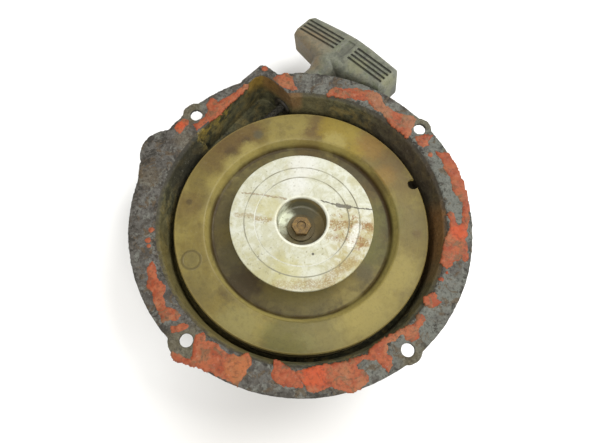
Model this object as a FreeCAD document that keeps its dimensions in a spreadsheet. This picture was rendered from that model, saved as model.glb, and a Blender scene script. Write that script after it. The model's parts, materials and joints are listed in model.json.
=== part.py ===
import FreeCAD, Part
import math
import os
import re

import Sketcher

# Recoil starter for a small engine, in millimetres.
# The origin is on the reel axis, in the machined face that bolts to the engine.
# +Z points out of the open mouth towards the engine, so the closed back is at -Z.
# The pull rope leaves at 45 degrees between +X and +Y.

DIMENSIONS = {
    # housing
    "flange_radius": 94.8,
    "flange_thick": 2.4,
    "bolt_circle_radius": 89.5,
    "bolt_hole_radius": 3.5,
    "mouth_radius": 78.5,
    "mouth_bevel": 2.6,
    "wall_radius": 75.6,
    "skin": 3,
    "floor_depth": 28.5,
    "chamber_radius": 52,
    "chamber_depth": 41,
    "back_depth": 45,
    "hub_depth": 49,
    "hub_radius": 14,
    # reel
    "reel_radius": 72.8,
    "reel_top_depth": 11.9,
    "cheek_thick": 3,
    "groove_root_radius": 57.5,
    "groove_low_depth": 24,
    "recess_radius": 52,
    "recess_lip_radius": 55.5,
    "recess_depth": 18.3,
    "web_thick": 4,
    "boss_radius": 34,
    "boss_depth": 13.2,
    "pit_radius": 17.2,
    "pit_depth": 24.6,
    "reel_hub_radius": 13,
    "reel_bore_radius": 9,
    "notch_radius": 3.3,
    # centre post, bush and centre fasteners
    "post_radius": 7.5,
    "post_seat_radius": 8.5,
    "post_shoulder_depth": 20.4,
    "post_neck_radius": 6,
    "post_top_depth": 17.4,
    "thread_radius": 3,
    "running_gap": 0.05,
    "bolt_flats": 10,
    "bolt_head_thick": 4,
    "washer_radius": 8,
    "washer_thick": 1.2,
    # friction plate
    "plate_radius": 40.45,
    "plate_top_depth": 4.3,
    "plate_thick": 2,
    "cup_radius": 14,
    "cup_bottom_depth": 17.5,
    # pawls
    "pawl_pivot_radius": 25,
    "pawl_pin_radius": 3,
    "pawl_length": 22,
    "pawl_low_depth": 13,
    "pawl_thick": 4.5,
    "peg_radius": 1.5,
    "peg_circle_radius": 29.9,
    # rope and handle
    "rope_radius": 2.25,
    "rope_line_radius": 66.5,
    "rope_depth": 19.4,
    "handle_length": 77,
    "handle_thick": 21,
    "handle_neck_radius": 7,
}

# Bearings around the reel axis, in degrees from +X.
BOLT_BEARINGS = (134.0, 39.0, 228.3, 307.0)
EAR_RADII = (8.0, 7.0, 9.6, 7.6)
ROPE_BEARING = 45.0
HANDLE_TWIST = 10.0
PAWL_REST_BEARING = -83.9
PEG_BEARING = -27.7
NOTCH_BEARING = 21.5
SPRING_ANCHOR_BEARING = 100.0
KNOT_BEARING = 200.0
RIB_COUNT = 6
GUSSET_COUNT = 10

X_AXIS = FreeCAD.Vector(1, 0, 0)
Y_AXIS = FreeCAD.Vector(0, 1, 0)
Z_AXIS = FreeCAD.Vector(0, 0, 1)

doc = FreeCAD.newDocument("recoil_starter")
sheet = doc.addObject("Spreadsheet::Sheet", "Dims")
for row, (alias, value) in enumerate(DIMENSIONS.items(), start=1):
    sheet.set(f"A{row}", alias)
    sheet.set(f"B{row}", str(value))
    sheet.setAlias(f"B{row}", alias)
doc.recompute()

sub_parts = []


# ---------------------------------------------------------------- helpers

def size(expression):
    """Value of an expression of sheet aliases, such as "post_radius + 2"."""
    return float(sheet.evalExpression(str(expression)))


def bound(expression):
    """The same expression, written so that another object can be bound to it."""
    return re.sub(r"[a-z]\w+", r"Dims.\g<0>", str(expression))


def keep(item, label, placement=None):
    """Name a finished sub-part and place it."""
    item.Label = label
    if placement is not None:
        item.Placement = placement
    sub_parts.append(item)
    return item


def new_body(name):
    return doc.addObject("PartDesign::Body", name)


def origin_plane(body, role):
    return next(item for item in body.Origin.OriginFeatures if item.Role == role)


def new_sketch(body, name, role, level="0"):
    """Sketch on one of the body's origin planes, lifted along its normal by level."""
    sketch = body.newObject("Sketcher::SketchObject", name)
    sketch.AttachmentSupport = [(origin_plane(body, role), "")]
    sketch.MapMode = "FlatFace"
    sketch.setExpression("AttachmentOffset.Base.z", bound(level))
    return sketch


def pin_point(sketch, geometry, vertex, x, y):
    """Bind a sketch point to two expressions."""
    for kind, expression in (("DistanceX", x), ("DistanceY", y)):
        constraint = Sketcher.Constraint(kind, -1, 1, geometry, vertex, size(expression))
        index = sketch.addConstraint(constraint)
        sketch.setExpression(f"Constraints[{index}]", bound(expression))


def add_outline(sketch, points):
    """Closed outline of straight lines through pairs of expressions."""
    places = [FreeCAD.Vector(size(x), size(y), 0) for x, y in points]
    count = len(points)
    first = sketch.GeometryCount
    for index in range(count):
        line = Part.LineSegment(places[index], places[(index + 1) % count])
        sketch.addGeometry(line, False)
    for index in range(count):
        following = first + (index + 1) % count
        sketch.addConstraint(Sketcher.Constraint("Coincident", first + index, 2, following, 1))
    for index, (x, y) in enumerate(points):
        pin_point(sketch, first + index, 1, x, y)


def add_circle(sketch, x, y, radius):
    centre = FreeCAD.Vector(size(x), size(y), 0)
    index = sketch.addGeometry(Part.Circle(centre, Z_AXIS, size(radius)), False)
    pin_point(sketch, index, 3, x, y)
    constraint = sketch.addConstraint(Sketcher.Constraint("Radius", index, size(radius)))
    sketch.setExpression(f"Constraints[{constraint}]", bound(radius))


def polar(radius, bearing):
    """Pair of expressions for a point at a radius and a bearing in degrees."""
    return (f"({radius}) * {math.cos(math.radians(bearing)):.6f}",
            f"({radius}) * {math.sin(math.radians(bearing)):.6f}")


def pad(body, name, sketch, length, midplane=False):
    """Pad away from the sketch plane's normal, or equally to both sides."""
    feature = body.newObject("PartDesign::Pad", name)
    feature.Profile = sketch
    feature.Reversed = not midplane
    feature.Midplane = midplane
    feature.setExpression("Length", bound(length))
    doc.recompute()
    return feature


def pocket(body, name, sketch, length, inward=False):
    """Pocket below the sketch plane, or above it when inward is set."""
    before = body.Shape.Volume
    feature = body.newObject("PartDesign::Pocket", name)
    feature.Profile = sketch
    feature.Reversed = inward
    feature.setExpression("Length", bound(length))
    doc.recompute()
    if not body.Shape.Volume < before:
        raise RuntimeError(f"{name} cuts nothing")
    return feature


def turned(body, name, points, cut=False):
    """Revolve an outline of (radius, height) pairs around the body's Z axis."""
    before = body.Shape.Volume if cut else 0
    sketch = new_sketch(body, f"{name}_sketch", "XZ_Plane")
    add_outline(sketch, points)
    kind = "PartDesign::Groove" if cut else "PartDesign::Revolution"
    feature = body.newObject(kind, name)
    feature.Profile = sketch
    feature.ReferenceAxis = (sketch, ["V_Axis"])
    feature.Angle = 360
    doc.recompute()
    if cut and not body.Shape.Volume < before:
        raise RuntimeError(f"{name} cuts nothing")
    return feature


def around_z(body, name, features, count):
    """Repeat features around the body's Z axis."""
    pattern = body.newObject("PartDesign::PolarPattern", name)
    pattern.Originals = features
    z_line = next(item for item in body.Origin.OriginFeatures if item.Role == "Z_Axis")
    pattern.Axis = (z_line, [""])
    pattern.Angle = 360
    pattern.Occurrences = count
    body.Tip = pattern
    doc.recompute()
    return pattern


def rounded(body, name, radius, chosen):
    """Fillet the body's edges for which chosen(edge) is true."""
    base = body.Tip
    edges = [f"Edge{index}" for index, edge in enumerate(base.Shape.Edges, start=1)
             if chosen(edge)]
    if not edges:
        raise RuntimeError(f"{name} finds no edge")
    fillet = body.newObject("PartDesign::Fillet", name)
    fillet.Base = (base, edges)
    fillet.setExpression("Radius", bound(radius))
    doc.recompute()
    return fillet


def is_ring(edge, radius, height):
    """True for a circle around the Z axis with this radius and height."""
    curve = edge.Curve
    return (isinstance(curve, Part.Circle)
            and abs(curve.Radius - size(radius)) < 0.01
            and abs(curve.Center.z - size(height)) < 0.01
            and math.hypot(curve.Center.x, curve.Center.y) < 0.01)


def turned_part(label, points, placement=None):
    """A sub-part made of one revolved outline."""
    body = new_body(f"{label}_body")
    turned(body, f"{label}_turn", points)
    return keep(body, label, placement)


def box_points(inner, outer, low, high):
    """Rectangular (radius, height) outline."""
    return [(inner, low), (outer, low), (outer, high), (inner, high)]


def direction(bearing):
    return FreeCAD.Vector(math.cos(math.radians(bearing)), math.sin(math.radians(bearing)), 0)


def rope_start():
    """Point where the rope leaves the wound turns, on the reel's rope line."""
    side = direction(ROPE_BEARING + 90) * size("rope_line_radius")
    return side - Z_AXIS * size("rope_depth")


def along_rope(distance=0.0, twist=0.0):
    """Placement with Z along the rope and X across it, distance from the rope's start."""
    outward = direction(ROPE_BEARING)
    across = direction(ROPE_BEARING - 90)
    turn = FreeCAD.Rotation(outward, -twist) * FreeCAD.Rotation(across, -Z_AXIS, outward)
    return FreeCAD.Placement(rope_start() + outward * distance, turn)


# ---------------------------------------------------------------- housing

def ear(body, index, bearing, radius):
    """Rounded ear around one bolt hole, tangent-sided down to the flange's disc."""
    sketch = new_sketch(body, f"ear_{index}_sketch", "XY_Plane")
    add_circle(sketch, *polar("bolt_circle_radius", bearing), radius)
    pad(body, f"ear_{index}", sketch, "flange_thick")
    flank = new_sketch(body, f"ear_{index}_flank_sketch", "XY_Plane")
    spread = 9
    hole = size("bolt_circle_radius")
    rim = size("flange_radius") - 0.8
    lean = math.degrees(radius * 0.86 / hole)
    crest = hole + radius * 0.5
    add_outline(flank, [polar(rim - 8, bearing - spread), polar(rim, bearing - spread),
                        polar(crest, bearing - lean), polar(crest, bearing + lean),
                        polar(rim, bearing + spread), polar(rim - 8, bearing + spread)])
    pad(body, f"ear_{index}_flank", flank, "flange_thick")


def rope_point(along, lateral):
    """Pair of coordinates from distances along and across the rope line."""
    place = rope_start() + direction(ROPE_BEARING) * along
    place = place + direction(ROPE_BEARING - 90) * lateral
    return (f"{place.x:.4f}", f"{place.y:.4f}")


def make_housing():
    body = new_body("housing_body")
    disc = new_sketch(body, "flange_sketch", "XY_Plane")
    add_circle(disc, "-0.5", "-0.5", "flange_radius")
    pad(body, "flange", disc, "flange_thick")
    for index, (bearing, radius) in enumerate(zip(BOLT_BEARINGS, EAR_RADII)):
        ear(body, index, bearing, radius)

    peak = new_sketch(body, "peak_sketch", "XY_Plane")
    add_outline(peak, [("-37", "82"), ("-36", "88.6"), ("-26", "98.6"), ("-24", "99.6"),
                       ("-21.5", "99.2"), ("-14.5", "93.4"), ("-13", "82")])
    pad(body, "peak", peak, "flange_thick")

    lobe = new_sketch(body, "lobe_sketch", "XY_Plane")
    add_circle(lobe, "-77.6", "38.8", "15.4")
    pad(body, "lobe", lobe, "14")
    lobe_web = new_sketch(body, "lobe_web_sketch", "XY_Plane")
    add_outline(lobe_web, [("-92.4", "22"), ("-92.6", "33"), ("-74", "54.4"), ("-66", "58"),
                           ("-62", "48"), ("-80", "20")])
    pad(body, "lobe_web", lobe_web, "8")

    turned(body, "shell", [
        ("0", "-flange_thick + 1"),
        ("wall_radius + skin + 2", "-flange_thick + 1"),
        ("wall_radius + skin + 2", "-flange_thick"),
        ("wall_radius + skin", "-flange_thick - 4"),
        ("wall_radius + skin - 1", "-floor_depth + 1"),
        ("wall_radius - 1", "-floor_depth - skin"),
        ("chamber_radius + skin + 1", "-floor_depth - skin"),
        ("chamber_radius + skin", "-back_depth + 3"),
        ("chamber_radius + skin - 3", "-back_depth"),
        ("hub_radius + 2", "-back_depth"),
        ("hub_radius", "-hub_depth"),
        ("0", "-hub_depth"),
    ])
    gusset = new_sketch(body, "gusset_sketch", "XZ_Plane", "-1.6")
    add_outline(gusset, [("chamber_radius", "-floor_depth"),
                         ("wall_radius - 4", "-floor_depth"),
                         ("wall_radius - 4", "-floor_depth - skin - 1"),
                         ("chamber_radius + skin + 2", "-back_depth + 4"),
                         ("chamber_radius", "-back_depth + 4")])
    one = pad(body, "gusset", gusset, "3.2")
    one.Reversed = False
    doc.recompute()
    around_z(body, "gussets", [one], GUSSET_COUNT)

    chute = new_sketch(body, "chute_sketch", "XY_Plane")
    add_outline(chute, [("-66", "50"), ("-33.5", "89"), ("-30", "94.2"), ("-26", "96"),
                        ("-20", "95"), ("-14", "89"), ("-2", "79"), ("-8", "60"),
                        ("-60", "44")])
    pad(body, "chute", chute, "floor_depth + 1.5")
    guide = new_sketch(body, "guide_sketch", "XY_Plane", "-flange_thick + 1")
    add_outline(guide, [rope_point(44, 9.5), rope_point(62, 9.5), rope_point(64, 7.5),
                        rope_point(64, -1.5), rope_point(53, -9.5), rope_point(44, -9.5)])
    pad(body, "guide", guide, "rope_depth + 4.5")

    turned(body, "cavity", [
        ("0", "1"),
        ("mouth_radius + mouth_bevel + 1", "1"),
        ("mouth_radius + mouth_bevel", "0"),
        ("mouth_radius", "-2.2"),
        ("wall_radius + 1", "-reel_top_depth"),
        ("wall_radius", "-floor_depth + 2"),
        ("wall_radius - 2", "-floor_depth"),
        ("chamber_radius", "-floor_depth"),
        ("chamber_radius", "-chamber_depth + 0.5"),
        ("chamber_radius - 0.5", "-chamber_depth"),
        ("0", "-chamber_depth"),
    ], cut=True)
    throat = new_sketch(body, "throat_sketch", "XY_Plane")
    add_outline(throat, [("-61.5", "50.5"), ("-31", "87.6"), ("-28", "91"), ("-24.5", "92.2"),
                         ("-20.4", "90.8"), rope_point(50.5, -4), rope_point(50.5, 8.5),
                         ("-4.5", "78.7"), ("-10", "60")])
    pocket(body, "throat", throat, "floor_depth - 1.5")

    holes = new_sketch(body, "bolt_hole_sketch", "XY_Plane")
    for bearing in BOLT_BEARINGS:
        add_circle(holes, *polar("bolt_circle_radius", bearing), "bolt_hole_radius")
    pocket(body, "bolt_holes", holes, "20")
    seat = new_sketch(body, "post_seat_sketch", "XY_Plane", "-chamber_depth")
    add_circle(seat, "0", "0", "post_seat_radius")
    pocket(body, "post_seat", seat, "20")
    anchor = new_sketch(body, "anchor_sketch", "XY_Plane", "-chamber_depth")
    add_circle(anchor, *polar("chamber_radius - 3", SPRING_ANCHOR_BEARING), "2")
    pocket(body, "anchor_hole", anchor, "2")
    doc.recompute()

    bore = doc.addObject("Part::Cylinder", "guide_bore")
    bore.setExpression("Radius", bound("rope_radius + 3"))
    bore.Height = 40
    bore.Placement = along_rope(49)
    whole = doc.addObject("Part::Cut", "housing_cut")
    whole.Base = body
    whole.Tool = bore
    doc.recompute()
    return keep(whole, "housing")


def make_rope_guide_bush():
    bore = "rope_radius + 0.95"
    tube = "rope_radius + 2.95"
    return turned_part("rope_guide_bush", [
        (f"{bore} + 1", "-1.4"), ("5.9", "-1.4"), ("6.6", "-0.7"), ("6.6", "-0.3"),
        (tube, "-0.3"), (tube, "12.6"), (f"{bore} + 0.8", "12.6"),
        (bore, "11.6"), (bore, "0")], along_rope(50.4))


# ---------------------------------------------------------------- centre post and springs

def make_centre_post():
    body = new_body("centre_post_body")
    turned(body, "centre_post_turn", [
        ("0", "-hub_depth - 0.8"),
        ("post_seat_radius - 2.5", "-hub_depth - 0.8"),
        ("post_seat_radius", "-hub_depth"),
        ("post_seat_radius", "-chamber_depth"),
        ("post_radius", "-chamber_depth"),
        ("post_radius", "-post_shoulder_depth"),
        ("post_neck_radius", "-post_shoulder_depth"),
        ("post_neck_radius", "-post_top_depth"),
        ("0", "-post_top_depth")])
    thread = new_sketch(body, "thread_sketch", "XY_Plane", "-post_top_depth")
    add_circle(thread, "0", "0", "thread_radius")
    pocket(body, "thread_hole", thread, "18")
    return keep(body, "centre_post")


def make_spiral_spring():
    """Flat steel strip wound from the reel's hub out to the chamber wall."""
    thickness = 0.8
    turns = 9
    steps_per_turn = 12
    inner = size("reel_hub_radius") + 1
    outer = size("chamber_radius") - 6.2
    low = -size("chamber_depth") + 0.6
    width = 11
    start = math.radians(SPRING_ANCHOR_BEARING)
    count = turns * steps_per_turn
    inside = []
    outside = []
    for index in range(count + 1):
        share = index / count
        angle = start - 2 * math.pi * turns * (1 - share)
        radius = inner + (outer - inner) * share
        unit = FreeCAD.Vector(math.cos(angle), math.sin(angle), 0)
        inside.append(unit * radius + Z_AXIS * low)
        outside.append(unit * (radius + thickness) + Z_AXIS * low)
    curves = []
    for points in (inside, outside):
        curve = Part.BSplineCurve()
        curve.interpolate(points)
        curves.append(curve.toShape())
    ends = [Part.makeLine(inside[0], outside[0]), Part.makeLine(inside[-1], outside[-1])]
    wire = Part.Wire(Part.__sortEdges__([curves[0], ends[1], curves[1], ends[0]]))
    feature = doc.addObject("Part::Feature", "spiral_spring_strip")
    feature.Shape = Part.Face(wire).extrude(Z_AXIS * width)
    return keep(feature, "spiral_spring")


def make_spring_anchor_pin():
    pin = doc.addObject("Part::Cylinder", "anchor_pin")
    pin.Radius = 1.95
    pin.setExpression("Height", bound("chamber_depth - floor_depth"))
    radius = size("chamber_radius") - 3
    place = direction(SPRING_ANCHOR_BEARING) * radius - Z_AXIS * (size("chamber_depth") + 2)
    return keep(pin, "spring_anchor_pin", FreeCAD.Placement(place, FreeCAD.Rotation()))


# ---------------------------------------------------------------- reel

def make_reel():
    body = new_body("reel_body")
    turned(body, "reel_turn", [
        ("reel_bore_radius", "-chamber_depth + 1.1"),
        ("reel_hub_radius", "-chamber_depth + 1.1"),
        ("reel_hub_radius", "-pit_depth - web_thick"),
        ("pit_radius + 3", "-pit_depth - web_thick"),
        ("pit_radius + 3", "-recess_depth - web_thick"),
        ("groove_root_radius - 4", "-recess_depth - web_thick"),
        ("groove_root_radius - 4", "-groove_low_depth - cheek_thick"),
        ("reel_radius", "-groove_low_depth - cheek_thick"),
        ("reel_radius", "-groove_low_depth"),
        ("groove_root_radius", "-groove_low_depth"),
        ("groove_root_radius", "-reel_top_depth - cheek_thick"),
        ("reel_radius", "-reel_top_depth - cheek_thick"),
        ("reel_radius", "-reel_top_depth - 0.6"),
        ("reel_radius - 0.6", "-reel_top_depth"),
        ("recess_lip_radius", "-reel_top_depth"),
        ("recess_radius", "-recess_depth"),
        ("boss_radius", "-recess_depth"),
        ("boss_radius", "-boss_depth"),
        ("pit_radius", "-boss_depth"),
        ("pit_radius", "-pit_depth"),
        ("reel_bore_radius", "-pit_depth")])
    rounded(body, "lip_round", "1.6",
            lambda edge: is_ring(edge, "recess_lip_radius", "-reel_top_depth"))
    rounded(body, "recess_round", "2", lambda edge: is_ring(edge, "recess_radius", "-recess_depth"))
    rounded(body, "boss_round", "1", lambda edge: is_ring(edge, "boss_radius", "-boss_depth"))

    rib = new_sketch(body, "rib_sketch", "XZ_Plane", "-1.25")
    low = "-groove_low_depth - cheek_thick"
    add_outline(rib, [("pit_radius + 1.5", low), ("groove_root_radius - 3", low),
                      ("groove_root_radius - 3", "-recess_depth - web_thick + 1"),
                      ("pit_radius + 1.5", "-recess_depth - web_thick + 1")])
    one = pad(body, "rib", rib, "2.5")
    one.Reversed = False
    doc.recompute()
    around_z(body, "ribs", [one], RIB_COUNT)

    notch = new_sketch(body, "notch_sketch", "XY_Plane", "-reel_top_depth + 1")
    add_circle(notch, *polar("reel_radius - 1.9", NOTCH_BEARING), "notch_radius")
    pocket(body, "notch", notch, "cheek_thick + 2")
    for index, bearing in enumerate((0, 180)):
        pin = new_sketch(body, f"pin_hole_{index}_sketch", "XY_Plane", "-boss_depth + 1")
        add_circle(pin, *polar("pawl_pivot_radius", bearing), "pawl_pin_radius")
        pocket(body, f"pin_hole_{index}", pin, "9")
        well = new_sketch(body, f"spring_well_{index}_sketch", "XY_Plane", "-boss_depth + 1")
        add_circle(well, *polar("pawl_pivot_radius", bearing), "6")
        pocket(body, f"spring_well_{index}", well, "4")
    doc.recompute()

    bore = doc.addObject("Part::Cylinder", "knot_hole")
    bore.setExpression("Radius", bound("rope_radius + 0.35"))
    bore.Height = 12
    bore.Placement = knot_tail_placement(-1)
    whole = doc.addObject("Part::Cut", "reel_cut")
    whole.Base = body
    whole.Tool = bore
    doc.recompute()
    return keep(whole, "reel")


def knot_tail_placement(distance=0.0):
    """Placement with Z up the slanting hole that lets the rope's end through the groove wall."""
    outward = direction(KNOT_BEARING)
    slant = (outward * 1.6 + Z_AXIS).normalize()
    foot = outward * (size("groove_root_radius") - 8.3) - Z_AXIS * (size("groove_low_depth") + 1.6)
    return FreeCAD.Placement(foot + slant * distance, FreeCAD.Rotation(Z_AXIS, slant))


def make_reel_bush():
    return turned_part("reel_bush", box_points(
        "post_radius + running_gap", "reel_bore_radius",
        "-chamber_depth + 1.1", "-pit_depth - 0.1"))


def make_thrust_washer():
    return turned_part("thrust_washer", box_points(
        "post_radius + 0.1", "reel_hub_radius - 1", "-chamber_depth", "-chamber_depth + 1"))


def make_rope_coil():
    """The inner turns of rope, as one ring with the outline of the bundle."""
    root = "groove_root_radius + 0.2"
    crown = "rope_line_radius - rope_radius - 0.2"
    low = "-groove_low_depth + 0.2"
    high = "-reel_top_depth - cheek_thick - 0.2"
    return turned_part("rope_coil", [
        (root, low), (f"{crown} - 1.2", low), (crown, f"{low} + 1.2"),
        (crown, f"{high} - 1.2"), (f"{crown} - 1.2", high), (root, high)])


def make_reel_knot():
    knot = doc.addObject("Part::Sphere", "reel_knot_ball")
    knot.Radius = 2.9
    knot.Placement = knot_tail_placement(0)
    tail = doc.addObject("Part::Cylinder", "reel_knot_tail")
    tail.setExpression("Radius", bound("rope_radius"))
    tail.Height = 7.6
    tail.Placement = knot_tail_placement(0)
    whole = doc.addObject("Part::Fuse", "reel_knot_fuse")
    whole.Base = knot
    whole.Tool = tail
    return keep(whole, "reel_knot")


# ---------------------------------------------------------------- pawls

def make_pawl_pin(label, bearing):
    return turned_part(label, [
        ("0", "-boss_depth - 7.8"),
        ("pawl_pin_radius", "-boss_depth - 7.8"),
        ("pawl_pin_radius", "-pawl_low_depth + pawl_thick + 0.5"),
        ("pawl_pin_radius - 0.5", "-pawl_low_depth + pawl_thick + 1"),
        ("0", "-pawl_low_depth + pawl_thick + 1")],
        FreeCAD.Placement(direction(bearing) * size("pawl_pivot_radius"), FreeCAD.Rotation()))


def make_pawl_spring(label, bearing):
    """Light wire coil in the well under the pawl, around its pin."""
    wire = 0.4
    coil_radius = 4.6
    path = doc.addObject("Part::Helix", f"{label}_helix")
    path.Radius = coil_radius
    path.Pitch = 0.95
    path.Height = 1.9
    path.SegmentLength = 0.25
    section = doc.addObject("Part::Circle", f"{label}_section")
    section.Radius = wire
    section.Placement = FreeCAD.Placement(
        FreeCAD.Vector(coil_radius, 0, 0), FreeCAD.Rotation(X_AXIS, 90))
    sweep = doc.addObject("Part::Sweep", f"{label}_sweep")
    sweep.Sections = [section]
    sweep.Spine = (path, [])
    sweep.Solid = True
    sweep.Frenet = True
    place = direction(bearing) * size("pawl_pivot_radius") - Z_AXIS * (size("boss_depth") + 2.45)
    return keep(sweep, label, FreeCAD.Placement(place, FreeCAD.Rotation(Z_AXIS, bearing)))


def make_pawl(label, bearing):
    """Flat steel pawl: round head on the pin, arm with the cam slot, blunt driving tip.

    Drawn with the pin on the local Z axis and the arm along +X."""
    body = new_body(f"{label}_body")
    head = new_sketch(body, f"{label}_head_sketch", "XY_Plane", "pawl_thick")
    add_circle(head, "0", "0", "6")
    pad(body, f"{label}_head", head, "pawl_thick")
    arm = new_sketch(body, f"{label}_arm_sketch", "XY_Plane", "pawl_thick")
    add_outline(arm, [("0", "-5.4"), ("14", "-4.8"), ("pawl_length", "-1.6"),
                      ("pawl_length", "2.4"), ("15", "4.6"), ("0", "5.8")])
    pad(body, f"{label}_arm", arm, "pawl_thick")
    cuts = new_sketch(body, f"{label}_cut_sketch", "XY_Plane", "pawl_thick")
    add_circle(cuts, "0", "0", "pawl_pin_radius + running_gap")
    pocket(body, f"{label}_pin_hole", cuts, "pawl_thick")
    slot = new_sketch(body, f"{label}_slot_sketch", "XY_Plane", "pawl_thick")
    add_outline(slot, [("5.1", "-2.55"), ("16", "-2.55"), ("16", "1.9"), ("5.1", "1.9")])
    pocket(body, f"{label}_slot", slot, "pawl_thick")
    place = direction(bearing) * size("pawl_pivot_radius") - Z_AXIS * size("pawl_low_depth")
    turn = FreeCAD.Rotation(Z_AXIS, bearing + PAWL_REST_BEARING)
    return keep(body, label, FreeCAD.Placement(place, turn))


# ---------------------------------------------------------------- friction plate

def make_friction_plate():
    body = new_body("friction_plate_body")
    top = "-plate_top_depth"
    under = "-plate_top_depth - plate_thick"
    turned(body, "friction_plate_turn", [
        ("post_neck_radius + running_gap", "-cup_bottom_depth"),
        ("post_neck_radius + running_gap", "-cup_bottom_depth - plate_thick"),
        ("cup_radius + plate_thick", "-cup_bottom_depth - plate_thick"),
        ("cup_radius + plate_thick", under),
        ("plate_radius", under),
        ("plate_radius", top),
        ("cup_radius", top),
        ("cup_radius", "-cup_bottom_depth")])
    rounded(body, "cup_mouth_round", "1.2", lambda edge: is_ring(edge, "cup_radius", top))
    rounded(body, "cup_foot_round", "1.5",
            lambda edge: is_ring(edge, "cup_radius", "-cup_bottom_depth"))
    rounded(body, "plate_rim_round", "0.4", lambda edge: is_ring(edge, "plate_radius", top))
    for index, radius in enumerate((26.5, 32.5)):
        turned(body, f"ring_groove_{index}", [
            (f"{radius} - 0.35", top), (f"{radius}", f"{top} - 0.3"),
            (f"{radius} + 0.35", top), (f"{radius}", f"{top} + 0.3")], cut=True)
    pegs = new_sketch(body, "peg_sketch", "XY_Plane", f"{under} + 0.5")
    for bearing in (PEG_BEARING, PEG_BEARING + 180):
        add_circle(pegs, *polar("peg_circle_radius", bearing), "peg_radius")
    pad(body, "pegs", pegs, "6.8")
    return keep(body, "friction_plate")


def make_friction_spring():
    wire = 0.7
    coil_radius = 11.6
    path = doc.addObject("Part::Helix", "friction_spring_helix")
    path.Radius = coil_radius
    path.Pitch = 1.75
    path.Height = 3.5
    path.SegmentLength = 0.25
    section = doc.addObject("Part::Circle", "friction_spring_section")
    section.Radius = wire
    section.Placement = FreeCAD.Placement(
        FreeCAD.Vector(coil_radius, 0, 0), FreeCAD.Rotation(X_AXIS, 90))
    sweep = doc.addObject("Part::Sweep", "friction_spring_sweep")
    sweep.Sections = [section]
    sweep.Spine = (path, [])
    sweep.Solid = True
    sweep.Frenet = True
    place = Z_AXIS * (-size("pit_depth") + wire + 0.05)
    return keep(sweep, "friction_spring", FreeCAD.Placement(place, FreeCAD.Rotation()))


def make_centre_washer():
    low = "-post_top_depth"
    return turned_part("centre_washer", box_points(
        "thread_radius + 0.2", "washer_radius", low, f"{low} + washer_thick"))


def make_centre_bolt():
    """M6 hexagon bolt: head with a shallow round dimple, plain shank."""
    body = new_body("centre_bolt_body")
    seat = "-post_top_depth + washer_thick"
    head = new_sketch(body, "hexagon_sketch", "XY_Plane", f"{seat} + bolt_head_thick")
    corner = "bolt_flats / 1.7320508"
    add_outline(head, [polar(corner, 60 * index) for index in range(6)])
    pad(body, "hexagon", head, "bolt_head_thick")
    shank = new_sketch(body, "shank_sketch", "XY_Plane", f"{seat} + 1")
    add_circle(shank, "0", "0", "thread_radius")
    pad(body, "shank", shank, "16")
    dimple = new_sketch(body, "dimple_sketch", "XY_Plane", f"{seat} + bolt_head_thick")
    add_circle(dimple, "0", "0", "2.7")
    pocket(body, "dimple", dimple, "0.8")
    top = f"{seat} + bolt_head_thick"
    turned(body, "head_chamfer", [
        (f"{corner} - 0.9", f"{top} + 0.2"), (f"{corner} + 0.6", f"{top} + 0.2"),
        (f"{corner} + 0.6", f"{top} - 0.75")], cut=True)
    return keep(body, "centre_bolt")


# ---------------------------------------------------------------- rope and handle

NECK_START = 65.0       # distances along the rope line from the rope's start
BAR_INNER = 90.5
BAR_END_OUTER = 113.2
BAR_CROWN = 116.7
KNOT_SEAT = 105.0
BAR_SHIFT = 4.6         # the bar's middle, across the rope line
GROOVE_START = 99.6     # the first grip groove, and the spacing of the four
GROOVE_PITCH = 3.13
GROOVE_GAP = 5.9        # from the bar's middle to the grooves' inner ends
GROOVE_LENGTH = 29.3
GROOVE_HALF_WIDTH = 0.75
GROOVE_FALL = 1.6       # towards the reel, over the groove's length


def make_rope_lead():
    rope = doc.addObject("Part::Cylinder", "rope_lead_cylinder")
    rope.setExpression("Radius", bound("rope_radius"))
    rope.Height = KNOT_SEAT + 1.7
    return keep(rope, "rope_lead", along_rope())


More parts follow.
